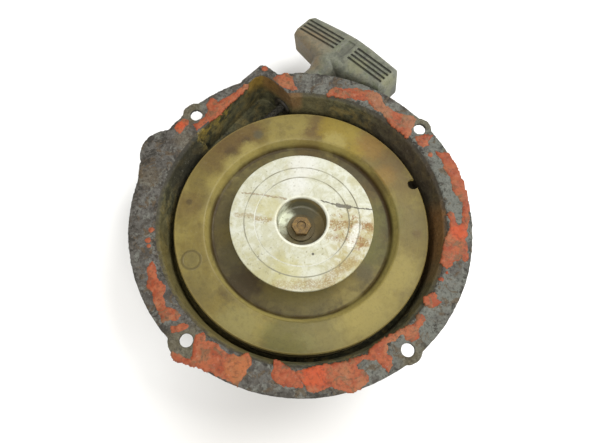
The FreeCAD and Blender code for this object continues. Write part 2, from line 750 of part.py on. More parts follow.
def make_handle_grip():
    """T-shaped grip, drawn with the rope on the local Z axis and the bar along X."""
    body = new_body("handle_grip_body")
    half = "handle_length / 2"
    bar = new_sketch(body, "bar_sketch", "XZ_Plane")
    add_outline(bar, [
        (f"{BAR_SHIFT} - {half} + 1.5", f"{BAR_INNER} + 3"),
        (f"{BAR_SHIFT} - 12", f"{BAR_INNER} - 1.5"),
        (f"{BAR_SHIFT} + 12", f"{BAR_INNER} - 1.5"),
        (f"{BAR_SHIFT} + {half} - 1.5", f"{BAR_INNER} + 3"),
        (f"{BAR_SHIFT} + {half}", f"{BAR_INNER} + 7"),
        (f"{BAR_SHIFT} + {half}", f"{BAR_END_OUTER} - 4"),
        (f"{BAR_SHIFT} + {half} - 3", f"{BAR_END_OUTER}"),
        (f"{BAR_SHIFT} + 12", f"{BAR_CROWN} - 0.7"),
        (f"{BAR_SHIFT}", f"{BAR_CROWN}"),
        (f"{BAR_SHIFT} - 12", f"{BAR_CROWN} - 0.7"),
        (f"{BAR_SHIFT} - {half} + 3", f"{BAR_END_OUTER}"),
        (f"{BAR_SHIFT} - {half}", f"{BAR_END_OUTER} - 4"),
        (f"{BAR_SHIFT} - {half}", f"{BAR_INNER} + 7")])
    pad(body, "bar", bar, "handle_thick", midplane=True)
    rounded(body, "bar_round", "4.5", lambda edge: edge.Length > 2 and abs(
        edge.CenterOfMass.y) > size("handle_thick") / 2 - 0.1)
    turned(body, "neck", [
        ("0", f"{NECK_START}"), ("handle_neck_radius - 1", f"{NECK_START}"),
        ("handle_neck_radius", f"{NECK_START + 1}"),
        ("handle_neck_radius + 0.3", f"{BAR_INNER - 9}"),
        ("handle_neck_radius + 3.5", f"{BAR_INNER - 1.5}"),
        ("handle_neck_radius + 3.5", f"{BAR_INNER + 3}"), ("0", f"{BAR_INNER + 3}")])

    face = "handle_thick / 2"
    groove_depth = "1.3"
    for side in (-1, 1):
        lines = new_sketch(body, f"grip_lines_{side + 1}_sketch", "XZ_Plane", face)
        for index in range(4):
            level = GROOVE_START + GROOVE_PITCH * index
            inner = BAR_SHIFT + side * GROOVE_GAP
            outer = inner + side * GROOVE_LENGTH
            low, high = level - GROOVE_HALF_WIDTH, level + GROOVE_HALF_WIDTH
            add_outline(lines, [
                (f"{inner}", f"{low}"), (f"{outer}", f"{low - GROOVE_FALL}"),
                (f"{outer}", f"{high - GROOVE_FALL}"), (f"{inner}", f"{high}")])
        pocket(body, f"grip_lines_{side + 1}", lines, groove_depth)
    panel = new_sketch(body, "panel_sketch", "XZ_Plane", face)
    add_outline(panel, [(f"{BAR_SHIFT - 3.1}", "98.4"), (f"{BAR_SHIFT + 3.1}", "98.4"),
                        (f"{BAR_SHIFT + 3.1}", "110.3"), (f"{BAR_SHIFT - 3.1}", "110.3")])
    pocket(body, "panel", panel, "0.7")
    turned(body, "rope_bore", [
        ("0", f"{NECK_START} - 1"), ("rope_radius + 0.6", f"{NECK_START} - 1"),
        ("rope_radius + 0.6", f"{KNOT_SEAT}"), ("6.4", f"{KNOT_SEAT}"),
        ("6.4", f"{BAR_CROWN} + 2"), ("0", f"{BAR_CROWN} + 2")], cut=True)
    return keep(body, "handle_grip", along_rope(twist=HANDLE_TWIST))


def make_rope_retainer():
    return turned_part("rope_retainer", box_points(
        "rope_radius + 0.4", "6.1", f"{KNOT_SEAT}", f"{KNOT_SEAT} + 1.6"), along_rope())


def make_handle_knot():
    knot = doc.addObject("Part::Sphere", "handle_knot_ball")
    knot.Radius = 4.6
    return keep(knot, "handle_knot", along_rope(KNOT_SEAT + 1.75 + 4.6))


# ---------------------------------------------------------------- build, check, write

make_housing()
make_rope_guide_bush()
make_centre_post()
make_thrust_washer()
make_spiral_spring()
make_spring_anchor_pin()
make_reel()
make_reel_bush()
make_rope_coil()
make_reel_knot()
for letter, pivot in (("a", 0), ("b", 180)):
    make_pawl_pin(f"pawl_pin_{letter}", pivot)
    make_pawl_spring(f"pawl_spring_{letter}", pivot)
    make_pawl(f"pawl_{letter}", pivot)
make_friction_plate()
make_friction_spring()
make_centre_washer()
make_centre_bolt()
make_rope_lead()
make_handle_grip()
make_rope_retainer()
make_handle_knot()
doc.recompute()

for item in doc.Objects:
    if "Invalid" in item.State or "Error" in item.State:
        raise RuntimeError(f"{item.Name} did not build: {item.State}")
for item in sub_parts:
    if item.Shape.isNull() or not item.Shape.isValid():
        raise RuntimeError(f"{item.Label} has no valid shape")
    if len(item.Shape.Solids) != 1:
        raise RuntimeError(f"{item.Label} has {len(item.Shape.Solids)} solids")

os.makedirs("parts", exist_ok=True)
for item in sub_parts:
    item.Shape.exportStep(f"parts/{item.Label}.step")
print(f"{len(sub_parts)} sub-parts written")
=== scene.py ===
import json
import math

import bpy
import numpy as np
from mathutils import Matrix, Vector


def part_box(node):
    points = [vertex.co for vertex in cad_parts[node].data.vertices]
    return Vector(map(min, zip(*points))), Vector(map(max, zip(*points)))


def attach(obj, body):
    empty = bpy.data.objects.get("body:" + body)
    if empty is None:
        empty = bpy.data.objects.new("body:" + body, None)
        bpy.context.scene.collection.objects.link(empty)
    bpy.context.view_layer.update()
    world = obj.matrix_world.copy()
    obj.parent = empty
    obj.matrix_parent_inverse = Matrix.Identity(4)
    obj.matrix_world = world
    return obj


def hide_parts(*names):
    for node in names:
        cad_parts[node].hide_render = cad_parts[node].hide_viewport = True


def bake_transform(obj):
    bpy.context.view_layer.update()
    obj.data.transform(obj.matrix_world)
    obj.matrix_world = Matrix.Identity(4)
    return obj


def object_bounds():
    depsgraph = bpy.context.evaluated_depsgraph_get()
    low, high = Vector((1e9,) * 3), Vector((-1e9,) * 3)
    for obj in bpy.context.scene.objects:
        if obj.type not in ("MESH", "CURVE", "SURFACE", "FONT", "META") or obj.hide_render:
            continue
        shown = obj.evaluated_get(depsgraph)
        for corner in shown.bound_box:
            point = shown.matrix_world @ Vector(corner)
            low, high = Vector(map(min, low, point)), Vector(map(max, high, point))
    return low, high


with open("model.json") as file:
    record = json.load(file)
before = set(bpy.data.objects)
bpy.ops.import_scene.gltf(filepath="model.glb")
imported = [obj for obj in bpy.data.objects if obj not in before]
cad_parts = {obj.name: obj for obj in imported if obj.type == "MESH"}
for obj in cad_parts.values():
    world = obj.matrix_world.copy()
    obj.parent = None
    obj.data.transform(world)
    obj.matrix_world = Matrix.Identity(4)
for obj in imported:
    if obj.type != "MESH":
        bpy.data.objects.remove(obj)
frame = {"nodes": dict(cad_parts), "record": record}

MM = 0.001
cad_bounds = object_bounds()

# ---------------- places read from the frame


def joint(name):
    """One joint of the part's record."""
    return next(item for item in frame["record"]["behaviour"]["joints"] if item["name"] == name)


ROPE_DIRECTION = Vector(joint("handle_pull")["axis"]).normalized()
FLOOR_Z = cad_bounds[0][2]


def radius_of(node):
    """Radius in millimetres of a node that is round about the reel's axis."""
    low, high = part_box(node)
    return (high[0] - low[0]) / 2 / MM


REEL_RADIUS = radius_of("reel")


# ---------------- mesh helpers

def settle(piece, body, node):
    """Let a piece ride on a body, in place of a CAD node if it has one."""
    if body:
        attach(piece, body)
    if node:
        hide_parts(node)


def new_piece(name, vertices, faces, material, body, node=None):
    """A mesh piece from vertices in millimetres."""
    mesh = bpy.data.meshes.new(name)
    mesh.from_pydata([tuple(c * MM for c in v) for v in vertices], [], faces)
    mesh.validate()
    mesh.update()
    piece = bpy.data.objects.new(name, mesh)
    bpy.context.scene.collection.objects.link(piece)
    mesh.polygons.foreach_set("use_smooth", [True] * len(mesh.polygons))
    mesh.materials.append(material)
    settle(piece, body, node)
    return piece


def apply_modifiers(piece):
    """Turn a piece's modifiers into its mesh."""
    graph = bpy.context.evaluated_depsgraph_get()
    mesh = bpy.data.meshes.new_from_object(piece.evaluated_get(graph))
    piece.modifiers.clear()
    piece.data = mesh


def skin_of(node, name, voxel, smoothing, material):
    """A finer copy of a CAD node, remeshed so that its edges wear round."""
    source = frame["nodes"][node]
    mesh = source.data.copy()
    mesh.materials.clear()
    piece = bpy.data.objects.new(name, mesh)
    bpy.context.scene.collection.objects.link(piece)
    remesh = piece.modifiers.new("remesh", "REMESH")
    remesh.mode = "VOXEL"
    remesh.voxel_size = voxel * MM
    remesh.use_smooth_shade = True
    if smoothing:
        smooth = piece.modifiers.new("smooth", "SMOOTH")
        smooth.iterations = smoothing
        smooth.factor = 0.5
    apply_modifiers(piece)
    piece.data.materials.clear()
    piece.data.materials.append(material)
    return piece


def roughen(piece, strength, grain, group=None, depth=2):
    """Push a skin in and out along its normals by cloud noise, sizes in millimetres."""
    clouds = bpy.data.textures.new(f"{piece.name}_clouds", "CLOUDS")
    clouds.noise_scale = grain * MM
    clouds.noise_depth = depth
    modifier = piece.modifiers.new("roughen", "DISPLACE")
    modifier.texture = clouds
    modifier.texture_coords = "LOCAL"
    modifier.strength = strength * MM
    modifier.mid_level = 0.5
    if group:
        modifier.vertex_group = group


def weigh(piece, name, weight):
    """Vertex group from a function of an array of points in millimetres."""
    count = len(piece.data.vertices)
    places = np.empty(count * 3)
    piece.data.vertices.foreach_get("co", places)
    values = weight(places.reshape(-1, 3) / MM)
    group = piece.vertex_groups.new(name=name)
    steps = 10
    levels = np.round(np.clip(values, 0, 1) * steps).astype(int)
    for level in range(1, steps + 1):
        chosen = np.nonzero(levels == level)[0].tolist()
        if chosen:
            group.add(chosen, level / steps, "REPLACE")


def tube(points, radius, sides):
    """Vertices and faces of a closed round tube along an array of points."""
    points = np.asarray(points, float)
    tangents = np.gradient(points, axis=0)
    tangents /= np.linalg.norm(tangents, axis=1)[:, None]
    any_direction = (0.31, 0.17, 0.93)
    side = np.cross(tangents[0], any_direction)
    angles = np.linspace(0, 2 * math.pi, sides, endpoint=False)
    vertices = []
    for point, tangent in zip(points, tangents):
        side = side - tangent * side.dot(tangent)
        side /= np.linalg.norm(side)
        up = np.cross(tangent, side)
        for angle in angles:
            vertices.append(point + radius * (math.cos(angle) * side + math.sin(angle) * up))
    faces = []
    for ring in range(len(points) - 1):
        for index in range(sides):
            following = (index + 1) % sides
            first, second = ring * sides, (ring + 1) * sides
            faces.append((first + index, first + following, second + following, second + index))
    faces.append(tuple(reversed(range(sides))))
    faces.append(tuple(range((len(points) - 1) * sides, len(points) * sides)))
    return vertices, faces


def braid(line, radius, strands, lay, sides=6):
    """Braided rope: strands wound both ways around a line, passing over and under."""
    line = np.asarray(line, float)
    steps = np.linalg.norm(np.diff(line, axis=0), axis=1)
    run = np.concatenate([[0], np.cumsum(steps)])
    tangents = np.gradient(line, axis=0)
    tangents /= np.linalg.norm(tangents, axis=1)[:, None]
    side = np.cross(tangents[0], (0, 0, 1.0))
    sides_of_line = []
    for tangent in tangents:
        side = side - tangent * side.dot(tangent)
        side /= np.linalg.norm(side)
        sides_of_line.append(side)
    sides_of_line = np.array(sides_of_line)
    ups = np.cross(tangents, sides_of_line)
    strand_radius = radius * 0.36
    core_radius = radius * 0.66
    weave_height = radius * 0.10
    vertices, faces = tube(line, core_radius, 8)
    for index in range(strands):
        way = 1 if index % 2 else -1
        start = 2 * math.pi * (index // 2) / (strands / 2)
        angle = start + way * 2 * math.pi * run / lay
        weave = np.cos(angle * strands / 2 - way * start) * way
        reach = radius - strand_radius + weave_height * weave
        path = line + reach[:, None] * (np.cos(angle)[:, None] * sides_of_line
                                        + np.sin(angle)[:, None] * ups)
        more, quads = tube(path, strand_radius, sides)
        shift = len(vertices)
        vertices += more
        faces += [tuple(corner + shift for corner in face) for face in quads]
    return vertices, faces


# ---------------- materials

class Recipe:
    """A node material built in small steps. Lengths in it are millimetres."""

    def __init__(self, name, metallic=0.0):
        self.material = bpy.data.materials.new(name)
        self.material.use_nodes = True
        self.nodes = self.material.node_tree.nodes
        self.links = self.material.node_tree.links
        self.nodes.clear()
        output = self.nodes.new("ShaderNodeOutputMaterial")
        self.surface = self.nodes.new("ShaderNodeBsdfPrincipled")
        self.links.new(self.surface.outputs[0], output.inputs["Surface"])
        self.put("Metallic", metallic)
        place = self.nodes.new("ShaderNodeTexCoord").outputs["Object"]
        self.place = self.vector("MULTIPLY", place, (1 / MM, 1 / MM, 1 / MM))
        self.x, self.y, self.z = self.parts(self.place)
        self.radius = self.calc("SQRT", self.calc("ADD", self.calc("MULTIPLY", self.x, self.x),
                                                  self.calc("MULTIPLY", self.y, self.y)))

    def feed(self, socket, value):
        """Link a node's output to a socket, or give the socket a fixed value."""
        if isinstance(value, bpy.types.NodeSocket):
            self.links.new(value, socket)
        elif isinstance(value, tuple) and len(value) == 3 and socket.type == "RGBA":
            socket.default_value = (*value, 1)
        else:
            socket.default_value = value

    def put(self, name, value):
        self.feed(self.surface.inputs[name], value)

    def calc(self, operation, first, second=0.0, clamp=False):
        node = self.nodes.new("ShaderNodeMath")
        node.operation = operation
        node.use_clamp = clamp
        self.feed(node.inputs[0], first)
        self.feed(node.inputs[1], second)
        return node.outputs[0]

    def vector(self, operation, first, second=(0, 0, 0)):
        node = self.nodes.new("ShaderNodeVectorMath")
        node.operation = operation
        self.feed(node.inputs[0], first)
        self.feed(node.inputs[1], second)
        return node.outputs["Value" if operation in ("LENGTH", "DOT_PRODUCT") else "Vector"]

    def parts(self, place):
        node = self.nodes.new("ShaderNodeSeparateXYZ")
        self.feed(node.inputs[0], place)
        return node.outputs[0], node.outputs[1], node.outputs[2]

    def joined(self, x, y, z):
        node = self.nodes.new("ShaderNodeCombineXYZ")
        for socket, value in zip(node.inputs, (x, y, z)):
            self.feed(socket, value)
        return node.outputs[0]

    def noise(self, size, detail=4.0, rough=0.55, twist=0.0, place=None, shift=0.0):
        """Cloud noise from 0 to 1 with features about size millimetres wide."""
        node = self.nodes.new("ShaderNodeTexNoise")
        moved = self.vector("ADD", place or self.place, (shift, shift * 0.7, -shift))
        self.feed(node.inputs["Vector"], moved)
        self.feed(node.inputs["Scale"], 1 / size)
        self.feed(node.inputs["Detail"], detail)
        self.feed(node.inputs["Roughness"], rough)
        self.feed(node.inputs["Distortion"], twist)
        return node.outputs["Fac"]

    def span(self, value, low, high, start=0.0, end=1.0):
        """Smooth step of a value between two limits."""
        node = self.nodes.new("ShaderNodeMapRange")
        node.interpolation_type = "SMOOTHSTEP"
        self.feed(node.inputs["Value"], value)
        for name, number in (("From Min", low), ("From Max", high),
                             ("To Min", start), ("To Max", end)):
            self.feed(node.inputs[name], number)
        return node.outputs["Result"]

    def mix(self, amount, first, second):
        """Colour that goes from the first to the second with the amount."""
        node = self.nodes.new("ShaderNodeMix")
        node.data_type = "RGBA"
        self.feed(node.inputs[0], amount)
        self.feed(node.inputs[6], first)
        self.feed(node.inputs[7], second)
        return node.outputs[2]

    def over(self, colour, mask, amount, tint):
        """Colour with a tint laid over it where the mask is 1, as strong as the amount."""
        return self.mix(self.both(mask, amount), colour, tint)

    def both(self, first, second):
        """Product of two masks."""
        return self.calc("MULTIPLY", first, second, clamp=True)

    def either(self, first, second):
        """The stronger of two masks."""
        return self.calc("MAXIMUM", first, second, clamp=True)

    def spot(self, x, y, radius, soft=1.0, ragged=0.0):
        """1 inside a round spot in the XY plane, fading over soft, with a ragged edge."""
        reach = self.reach(x, y)
        if ragged:
            wobble = self.calc("SUBTRACT", self.noise(max(radius * 0.6, 1.0)), 0.5)
            reach = self.calc("ADD", reach, self.calc("MULTIPLY", wobble, ragged * 2))
        return self.span(reach, radius, radius + soft, 1.0, 0.0)

    def spots(self, *places):
        """1 inside any of several round spots."""
        mask = 0.0
        for place in places:
            mask = self.either(mask, self.spot(*place))
        return mask

    def reach(self, x, y):
        """Distance from a point of the XY plane."""
        across = self.calc("SUBTRACT", self.x, x)
        along = self.calc("SUBTRACT", self.y, y)
        return self.calc("SQRT", self.calc("ADD", self.calc("MULTIPLY", across, across),
                                           self.calc("MULTIPLY", along, along)))

    def line(self, start, end, width, ragged=0.0):
        """1 on a thin line between two points of the XY plane."""
        run = (end[0] - start[0], end[1] - start[1])
        length = run[0] ** 2 + run[1] ** 2
        across = self.calc("SUBTRACT", self.x, start[0])
        along = self.calc("SUBTRACT", self.y, start[1])
        share = self.calc("ADD", self.calc("MULTIPLY", across, run[0] / length),
                          self.calc("MULTIPLY", along, run[1] / length), clamp=True)
        off_x = self.calc("SUBTRACT", across, self.calc("MULTIPLY", share, run[0]))
        off_y = self.calc("SUBTRACT", along, self.calc("MULTIPLY", share, run[1]))
        if ragged:
            wobble = self.calc("MULTIPLY", self.calc("SUBTRACT", self.noise(2.2), 0.5), ragged)
            off_y = self.calc("ADD", off_y, wobble)
        reach = self.calc("SQRT", self.calc("ADD", self.calc("MULTIPLY", off_x, off_x),
                                            self.calc("MULTIPLY", off_y, off_y)))
        return self.span(reach, width * 0.4, width, 1.0, 0.0)

    def path(self, points, widths, ragged):
        """1 on a bent line through points, with a width for each stretch."""
        mask = 0.0
        for start, end, width in zip(points, points[1:], widths):
            mask = self.either(mask, self.line(start, end, width, ragged))
        return mask

    def facing(self, x, y):
        """1 on walls that face a point of the XY plane and on faces that look up."""
        normal = self.nodes.new("ShaderNodeTexCoord").outputs["Normal"]
        toward = self.joined(self.calc("SUBTRACT", x, self.x), self.calc("SUBTRACT", y, self.y), 0)
        inward = self.span(self.vector("DOT_PRODUCT", normal, toward), 0.0, 1.5)
        return self.either(inward, self.span(self.parts(normal)[2], 0.4, 0.6))

    def openness(self, distance):
        """1 on open surface, falling to 0 in creases narrower than distance millimetres."""
        node = self.nodes.new("ShaderNodeAmbientOcclusion")
        node.samples = 6
        node.inputs["Distance"].default_value = distance * MM
        return node.outputs["AO"]

    def gritty(self, colour, grain, amount):
        """Fine dark and pale grains over a colour."""
        grains = self.noise(grain, 6, 0.75, 0.5, shift=90)
        dark = self.both(self.span(grains, 0.5, 0.38), amount)
        pale = self.both(self.span(grains, 0.57, 0.7), amount * 0.5)
        colour = self.mix(dark, colour, (0.014, 0.012, 0.009))
        return self.mix(pale, colour, (0.32, 0.31, 0.27))

    def bumped(self, height, depth, previous=None):
        """Bump of a height from 0 to 1, depth in millimetres."""
        node = self.nodes.new("ShaderNodeBump")
        node.inputs["Strength"].default_value = 1.0
        node.inputs["Distance"].default_value = depth * MM
        self.feed(node.inputs["Height"], height)
        if previous:
            self.feed(node.inputs["Normal"], previous)
        return node.outputs[0]

    def finish(self, colour, roughness, normal):
        self.put("Base Color", colour)
        self.put("Roughness", roughness)
        self.put("Normal", normal)
        return self.material


def casting_material():
    """Worn dark paint on a cast cover: grey scraped flange, brown and olive grime inside, with
    painted light and shade on the inner walls.
    """
    r = Recipe("worn_casting")
    r.put("Specular IOR Level", 0.2)
    broad = r.noise(24, 5, 0.6)
    middle = r.noise(6, 6, 0.65, 0.4)
    fine = r.noise(1.1, 4, 0.7)

    # the machined face of the flange
    flat = r.both(r.span(r.z, -0.75, -0.35), r.span(r.radius, 76, 80))
    east = r.span(r.x, -30, 80)
    face = r.mix(r.span(middle, 0.4, 0.6), (0.05, 0.044, 0.036), (0.094, 0.089, 0.078))
    face = r.over(face, east, r.span(broad, 0.36, 0.54), (0.118, 0.122, 0.104))
    scraped = r.span(r.noise(9, 6, 0.7, 1.0, shift=55), 0.53, 0.6)
    face = r.over(face, scraped, 0.6, (0.15, 0.153, 0.13))
    soil = r.span(r.noise(7, 6, 0.7, 1.0, shift=40), 0.53, 0.6)
    face = r.over(face, soil, 0.75, (0.075, 0.05, 0.025))
    rims = r.either(r.span(r.radius, 87.5, 94), r.span(r.radius, 84.5, 80.8))
    grime = r.calc("ADD", r.noise(4.5, 6, 0.72, 0.8, shift=25), r.calc("MULTIPLY", rims, 0.13))
    face = r.over(face, r.span(grime, 0.62, 0.7), 0.85, (0.024, 0.021, 0.016))
    face = r.over(face, r.span(fine, 0.58, 0.7), 0.3, (0.15, 0.141, 0.114))
    near_holes = r.spots((-60, -72, 9, 7, 4), (-66, 68, 5, 6, 4), (73, 62, 5, 6, 4),
                         (58, -77, 5, 6, 4))
    face = r.over(face, near_holes, 0.55, (0.105, 0.09, 0.05))
    crook = r.spots((-86, 24, 3, 6, 5), (-68, 48, 3, 6, 5))
    face = r.over(face, crook, 0.4, (0.1, 0.075, 0.04))
    face = r.gritty(face, 1.5, 0.55)

    # the bowl and the rope throat
    inside = r.mix(r.span(middle, 0.38, 0.62), (0.032, 0.032, 0.018), (0.092, 0.086, 0.042))
    inside = r.over(inside, r.span(r.noise(11, 5, 0.65, 0.8, shift=80), 0.48, 0.68), 0.75,
                    (0.165, 0.125, 0.042))
    ruddy = r.both(r.span(r.x, 25, 60), r.span(r.y, -10, 25))
    inside = r.over(inside, ruddy, 0.65, (0.055, 0.038, 0.026))
    rusty = r.both(r.span(r.x, 55, 70), r.spot(76, -12, 16, 12, 5))
    inside = r.over(inside, rusty, 0.8, (0.182, 0.09, 0.029))
    # Olive tone towards the lower left of the bowl.
    olive_lower_left = r.both(r.span(r.x, 0, -45), r.span(r.y, 15, -30))
    inside = r.over(inside, olive_lower_left, 0.6, (0.141, 0.11, 0.031))
    # The first spot darkens the upper-left wall as painted shade; the other two lay lighter
    # olive-brown patches.
    for x, y, size, strength, tint in ((-68, 36, 12, 0.75, (0.02, 0.019, 0.014)),
                                       (2, 79, 11, 0.5, (0.12, 0.1, 0.044)),
                                       (70, -37, 13, 0.5, (0.1, 0.087, 0.045))):
        inside = r.over(inside, r.spot(x, y, size, 9, 5), strength, tint)
    # The mouth's bevel is darkened: dark grey tone with a painted shadow line along the edge.
    bevel = r.span(r.z, -2.6, -1.0)
    inside = r.over(inside, bevel, r.span(middle, 0.35, 0.6, 0.2, 0.85), (0.039, 0.035, 0.028))
    # Painted light: a lit golden-olive patch in the throat's corner.
    corner = r.both(r.spot(-24, 88, 6, 7, 6), r.span(r.z, -17, -5))
    inside = r.over(inside, corner, 0.9, (0.237, 0.15, 0.029))
    band = r.both(r.line((-20, 89), (-4, 78), 6, 2.0), r.span(r.z, -17, -8))
    inside = r.over(inside, band, 0.7, (0.154, 0.081, 0.031))
    # Painted highlight: small bright golden patches on the upper-left wall by the throat.
    throat_highlight = r.spots((-55, 54, 4, 4, 5), (-44, 64, 6, 5, 6))
    throat_highlight = r.both(throat_highlight, r.both(r.span(r.z, -19, -6), r.span(middle, 0.42, 0.56)))
    inside = r.over(inside, throat_highlight, 0.85, (0.228, 0.164, 0.029))
    inside = r.gritty(inside, 2.4, 0.35)

    # the back and the outer wall
    outside = r.mix(r.span(middle, 0.4, 0.65), (0.026, 0.026, 0.022), (0.053, 0.051, 0.044))
    outside = r.over(outside, r.span(broad, 0.5, 0.7), 0.6, (0.081, 0.067, 0.046))
    outside = r.over(outside, r.span(r.noise(3.2, 6, 0.7, shift=15), 0.64, 0.72), 0.8,
                     (0.228, 0.228, 0.204))

    bowl = r.both(r.span(r.radius, 81.4, 80.6), r.span(r.z, -41.5, -41.0))
    bowl = r.both(bowl, r.facing(0, 0))
    throat = r.both(r.spot(-30, 75, 26, 2), r.span(r.z, -27.6, -27.2))
    throat = r.both(throat, r.facing(-30, 75))
    inner = r.either(bowl, throat)
    colour = r.mix(inner, outside, inside)
    colour = r.mix(flat, colour, face)
    rough = r.span(middle, 0.3, 0.7, 0.5, 0.78)
    bump = r.bumped(r.noise(2.2, 6, 0.7), 0.5)
    bump = r.bumped(fine, 0.2, bump)
    return r.finish(colour, rough, bump)


def sealant_material():
    """Old red-orange gasket sealant, browner where grime sits on it."""
    r = Recipe("red_sealant")
    r.put("Specular IOR Level", 0.25)
    middle = r.noise(5, 5, 0.6, 0.5)
    colour = r.mix(r.span(middle, 0.38, 0.6), (0.21, 0.04, 0.012), (0.265, 0.07, 0.027))
    colour = r.over(colour, r.span(r.noise(12, 4, 0.6, shift=30), 0.5, 0.66), 0.6,
                    (0.25, 0.112, 0.05))
    colour = r.over(colour, r.span(r.noise(7, 6, 0.7, 0.8, shift=9), 0.52, 0.64), 0.75,
                    (0.11, 0.064, 0.03))
    colour = r.over(colour, r.span(r.noise(1.6, 5, 0.7, 0.8, shift=45), 0.58, 0.68), 0.55,
                    (0.072, 0.045, 0.023))
    core = r.spots((86, -8, 3, 3, 3), (6, -84, 4, 4, 4), (-71, 57, 1.5, 2, 2))
    colour = r.over(colour, core, 0.7, (0.378, 0.053, 0.012))
    slab = r.spot(-32, -81, 5, 4, 4)
    colour = r.over(colour, slab, 0.65, (0.288, 0.101, 0.031))
    pale = r.either(r.line((44, 78), (50, 68), 6, 3.0), r.spot(66, 62, 4, 5, 4))
    colour = r.over(colour, pale, 0.6, (0.21, 0.11, 0.055))
    bump = r.bumped(r.noise(1.8, 6, 0.7), 0.35)
    colour = r.gritty(colour, 2.2, 0.4)
    return r.finish(colour, r.span(middle, 0.3, 0.7, 0.45, 0.7), bump)


BROWN = (0.085, 0.05, 0.017)
DARK_BROWN = (0.042, 0.028, 0.014)
ORANGE_BROWN = (0.18, 0.1, 0.02)
GOLD = (0.215, 0.155, 0.018)
# Pale yellow is used for painted light and painted sheen on the reel.
LIT_PALE_YELLOW = (0.25, 0.205, 0.06)
PALE_OLIVE = (0.185, 0.165, 0.065)
OLIVE = (0.12, 0.1, 0.036)
GREEN = (0.09, 0.094, 0.027)
GREY_BROWN = (0.07, 0.062, 0.034)

# Smudges on the reel, with pale yellow spots that are painted light on the step's slope and painted
# sheen on the lower-right cheek: x, y, radius, softness, strength and colour.
SMUDGES_AND_SHEEN = [
    (11, 68, 3, 5, 0.7, BROWN), (8, 59, 3, 4, 0.75, BROWN), (4, 50, 4, 6, 0.6, BROWN),
    (24, 62, 9, 6, 0.7, GOLD), (20, 53, 4, 4, 0.8, LIT_PALE_YELLOW), (33, 47, 3, 4, 0.8, GOLD),
    (44, 52, 5, 7, 0.75, ORANGE_BROWN), (55, 40, 4, 7, 0.7, BROWN),
    (50, 31, 3, 5, 0.6, ORANGE_BROWN), (61, 26, 3, 6, 0.45, BROWN), (-32, 60, 4, 6, 0.75, BROWN),
    (-43, 52, 4, 7, 0.75, BROWN), (-53, 42, 4, 7, 0.5, BROWN), (-26, 58, 1.5, 2, 0.8, GREY_BROWN),
    (-33, 54, 1.5, 2, 0.5, DARK_BROWN), (-42, 46, 2, 2.5, 0.5, DARK_BROWN),
    (-31, 47, 3, 4, 0.7, LIT_PALE_YELLOW), (-40, 38, 3, 4, 0.6, LIT_PALE_YELLOW),
    (-49, 24, 3, 5, 0.5, LIT_PALE_YELLOW), (-54, 6, 2, 4, 0.55, LIT_PALE_YELLOW),
    (-66, 12, 4, 6, 0.45, BROWN), (-62, -21, 4, 3, 0.55, OLIVE), (-58, -38, 5, 7, 0.4, OLIVE),
    (-35, -58, 6, 8, 0.5, PALE_OLIVE), (-8, -66, 8, 8, 0.5, GREEN), (12, -60, 8, 8, 0.5, PALE_OLIVE),
    (34, -50, 8, 11, 0.75, LIT_PALE_YELLOW), (53, -28, 6, 9, 0.65, LIT_PALE_YELLOW),
    (61, 0, 4, 9, 0.5, OLIVE), (66, -5, 1.2, 2, 0.5, BROWN), (-65, 14, 1, 1.2, 0.6, DARK_BROWN),
    (-33, -33, 6, 8, 0.85, DARK_BROWN), (-41, -18, 4, 8, 0.6, GREY_BROWN),
    (0, -46, 12, 7, 0.6, OLIVE), (-45, 12, 4, 9, 0.5, GREY_BROWN), (-32, 32, 5, 8, 0.45, PALE_OLIVE),
    (-12, 44, 5, 6, 0.5, PALE_OLIVE), (45, 6, 5, 8, 0.65, GREEN), (42, -14, 5, 7, 0.6, GREEN),
    (36, -26, 2.5, 4, 0.6, GREY_BROWN), (30, 35, 5, 6, 0.6, GREY_BROWN), (40, 24, 3, 5, 0.5, BROWN),
]


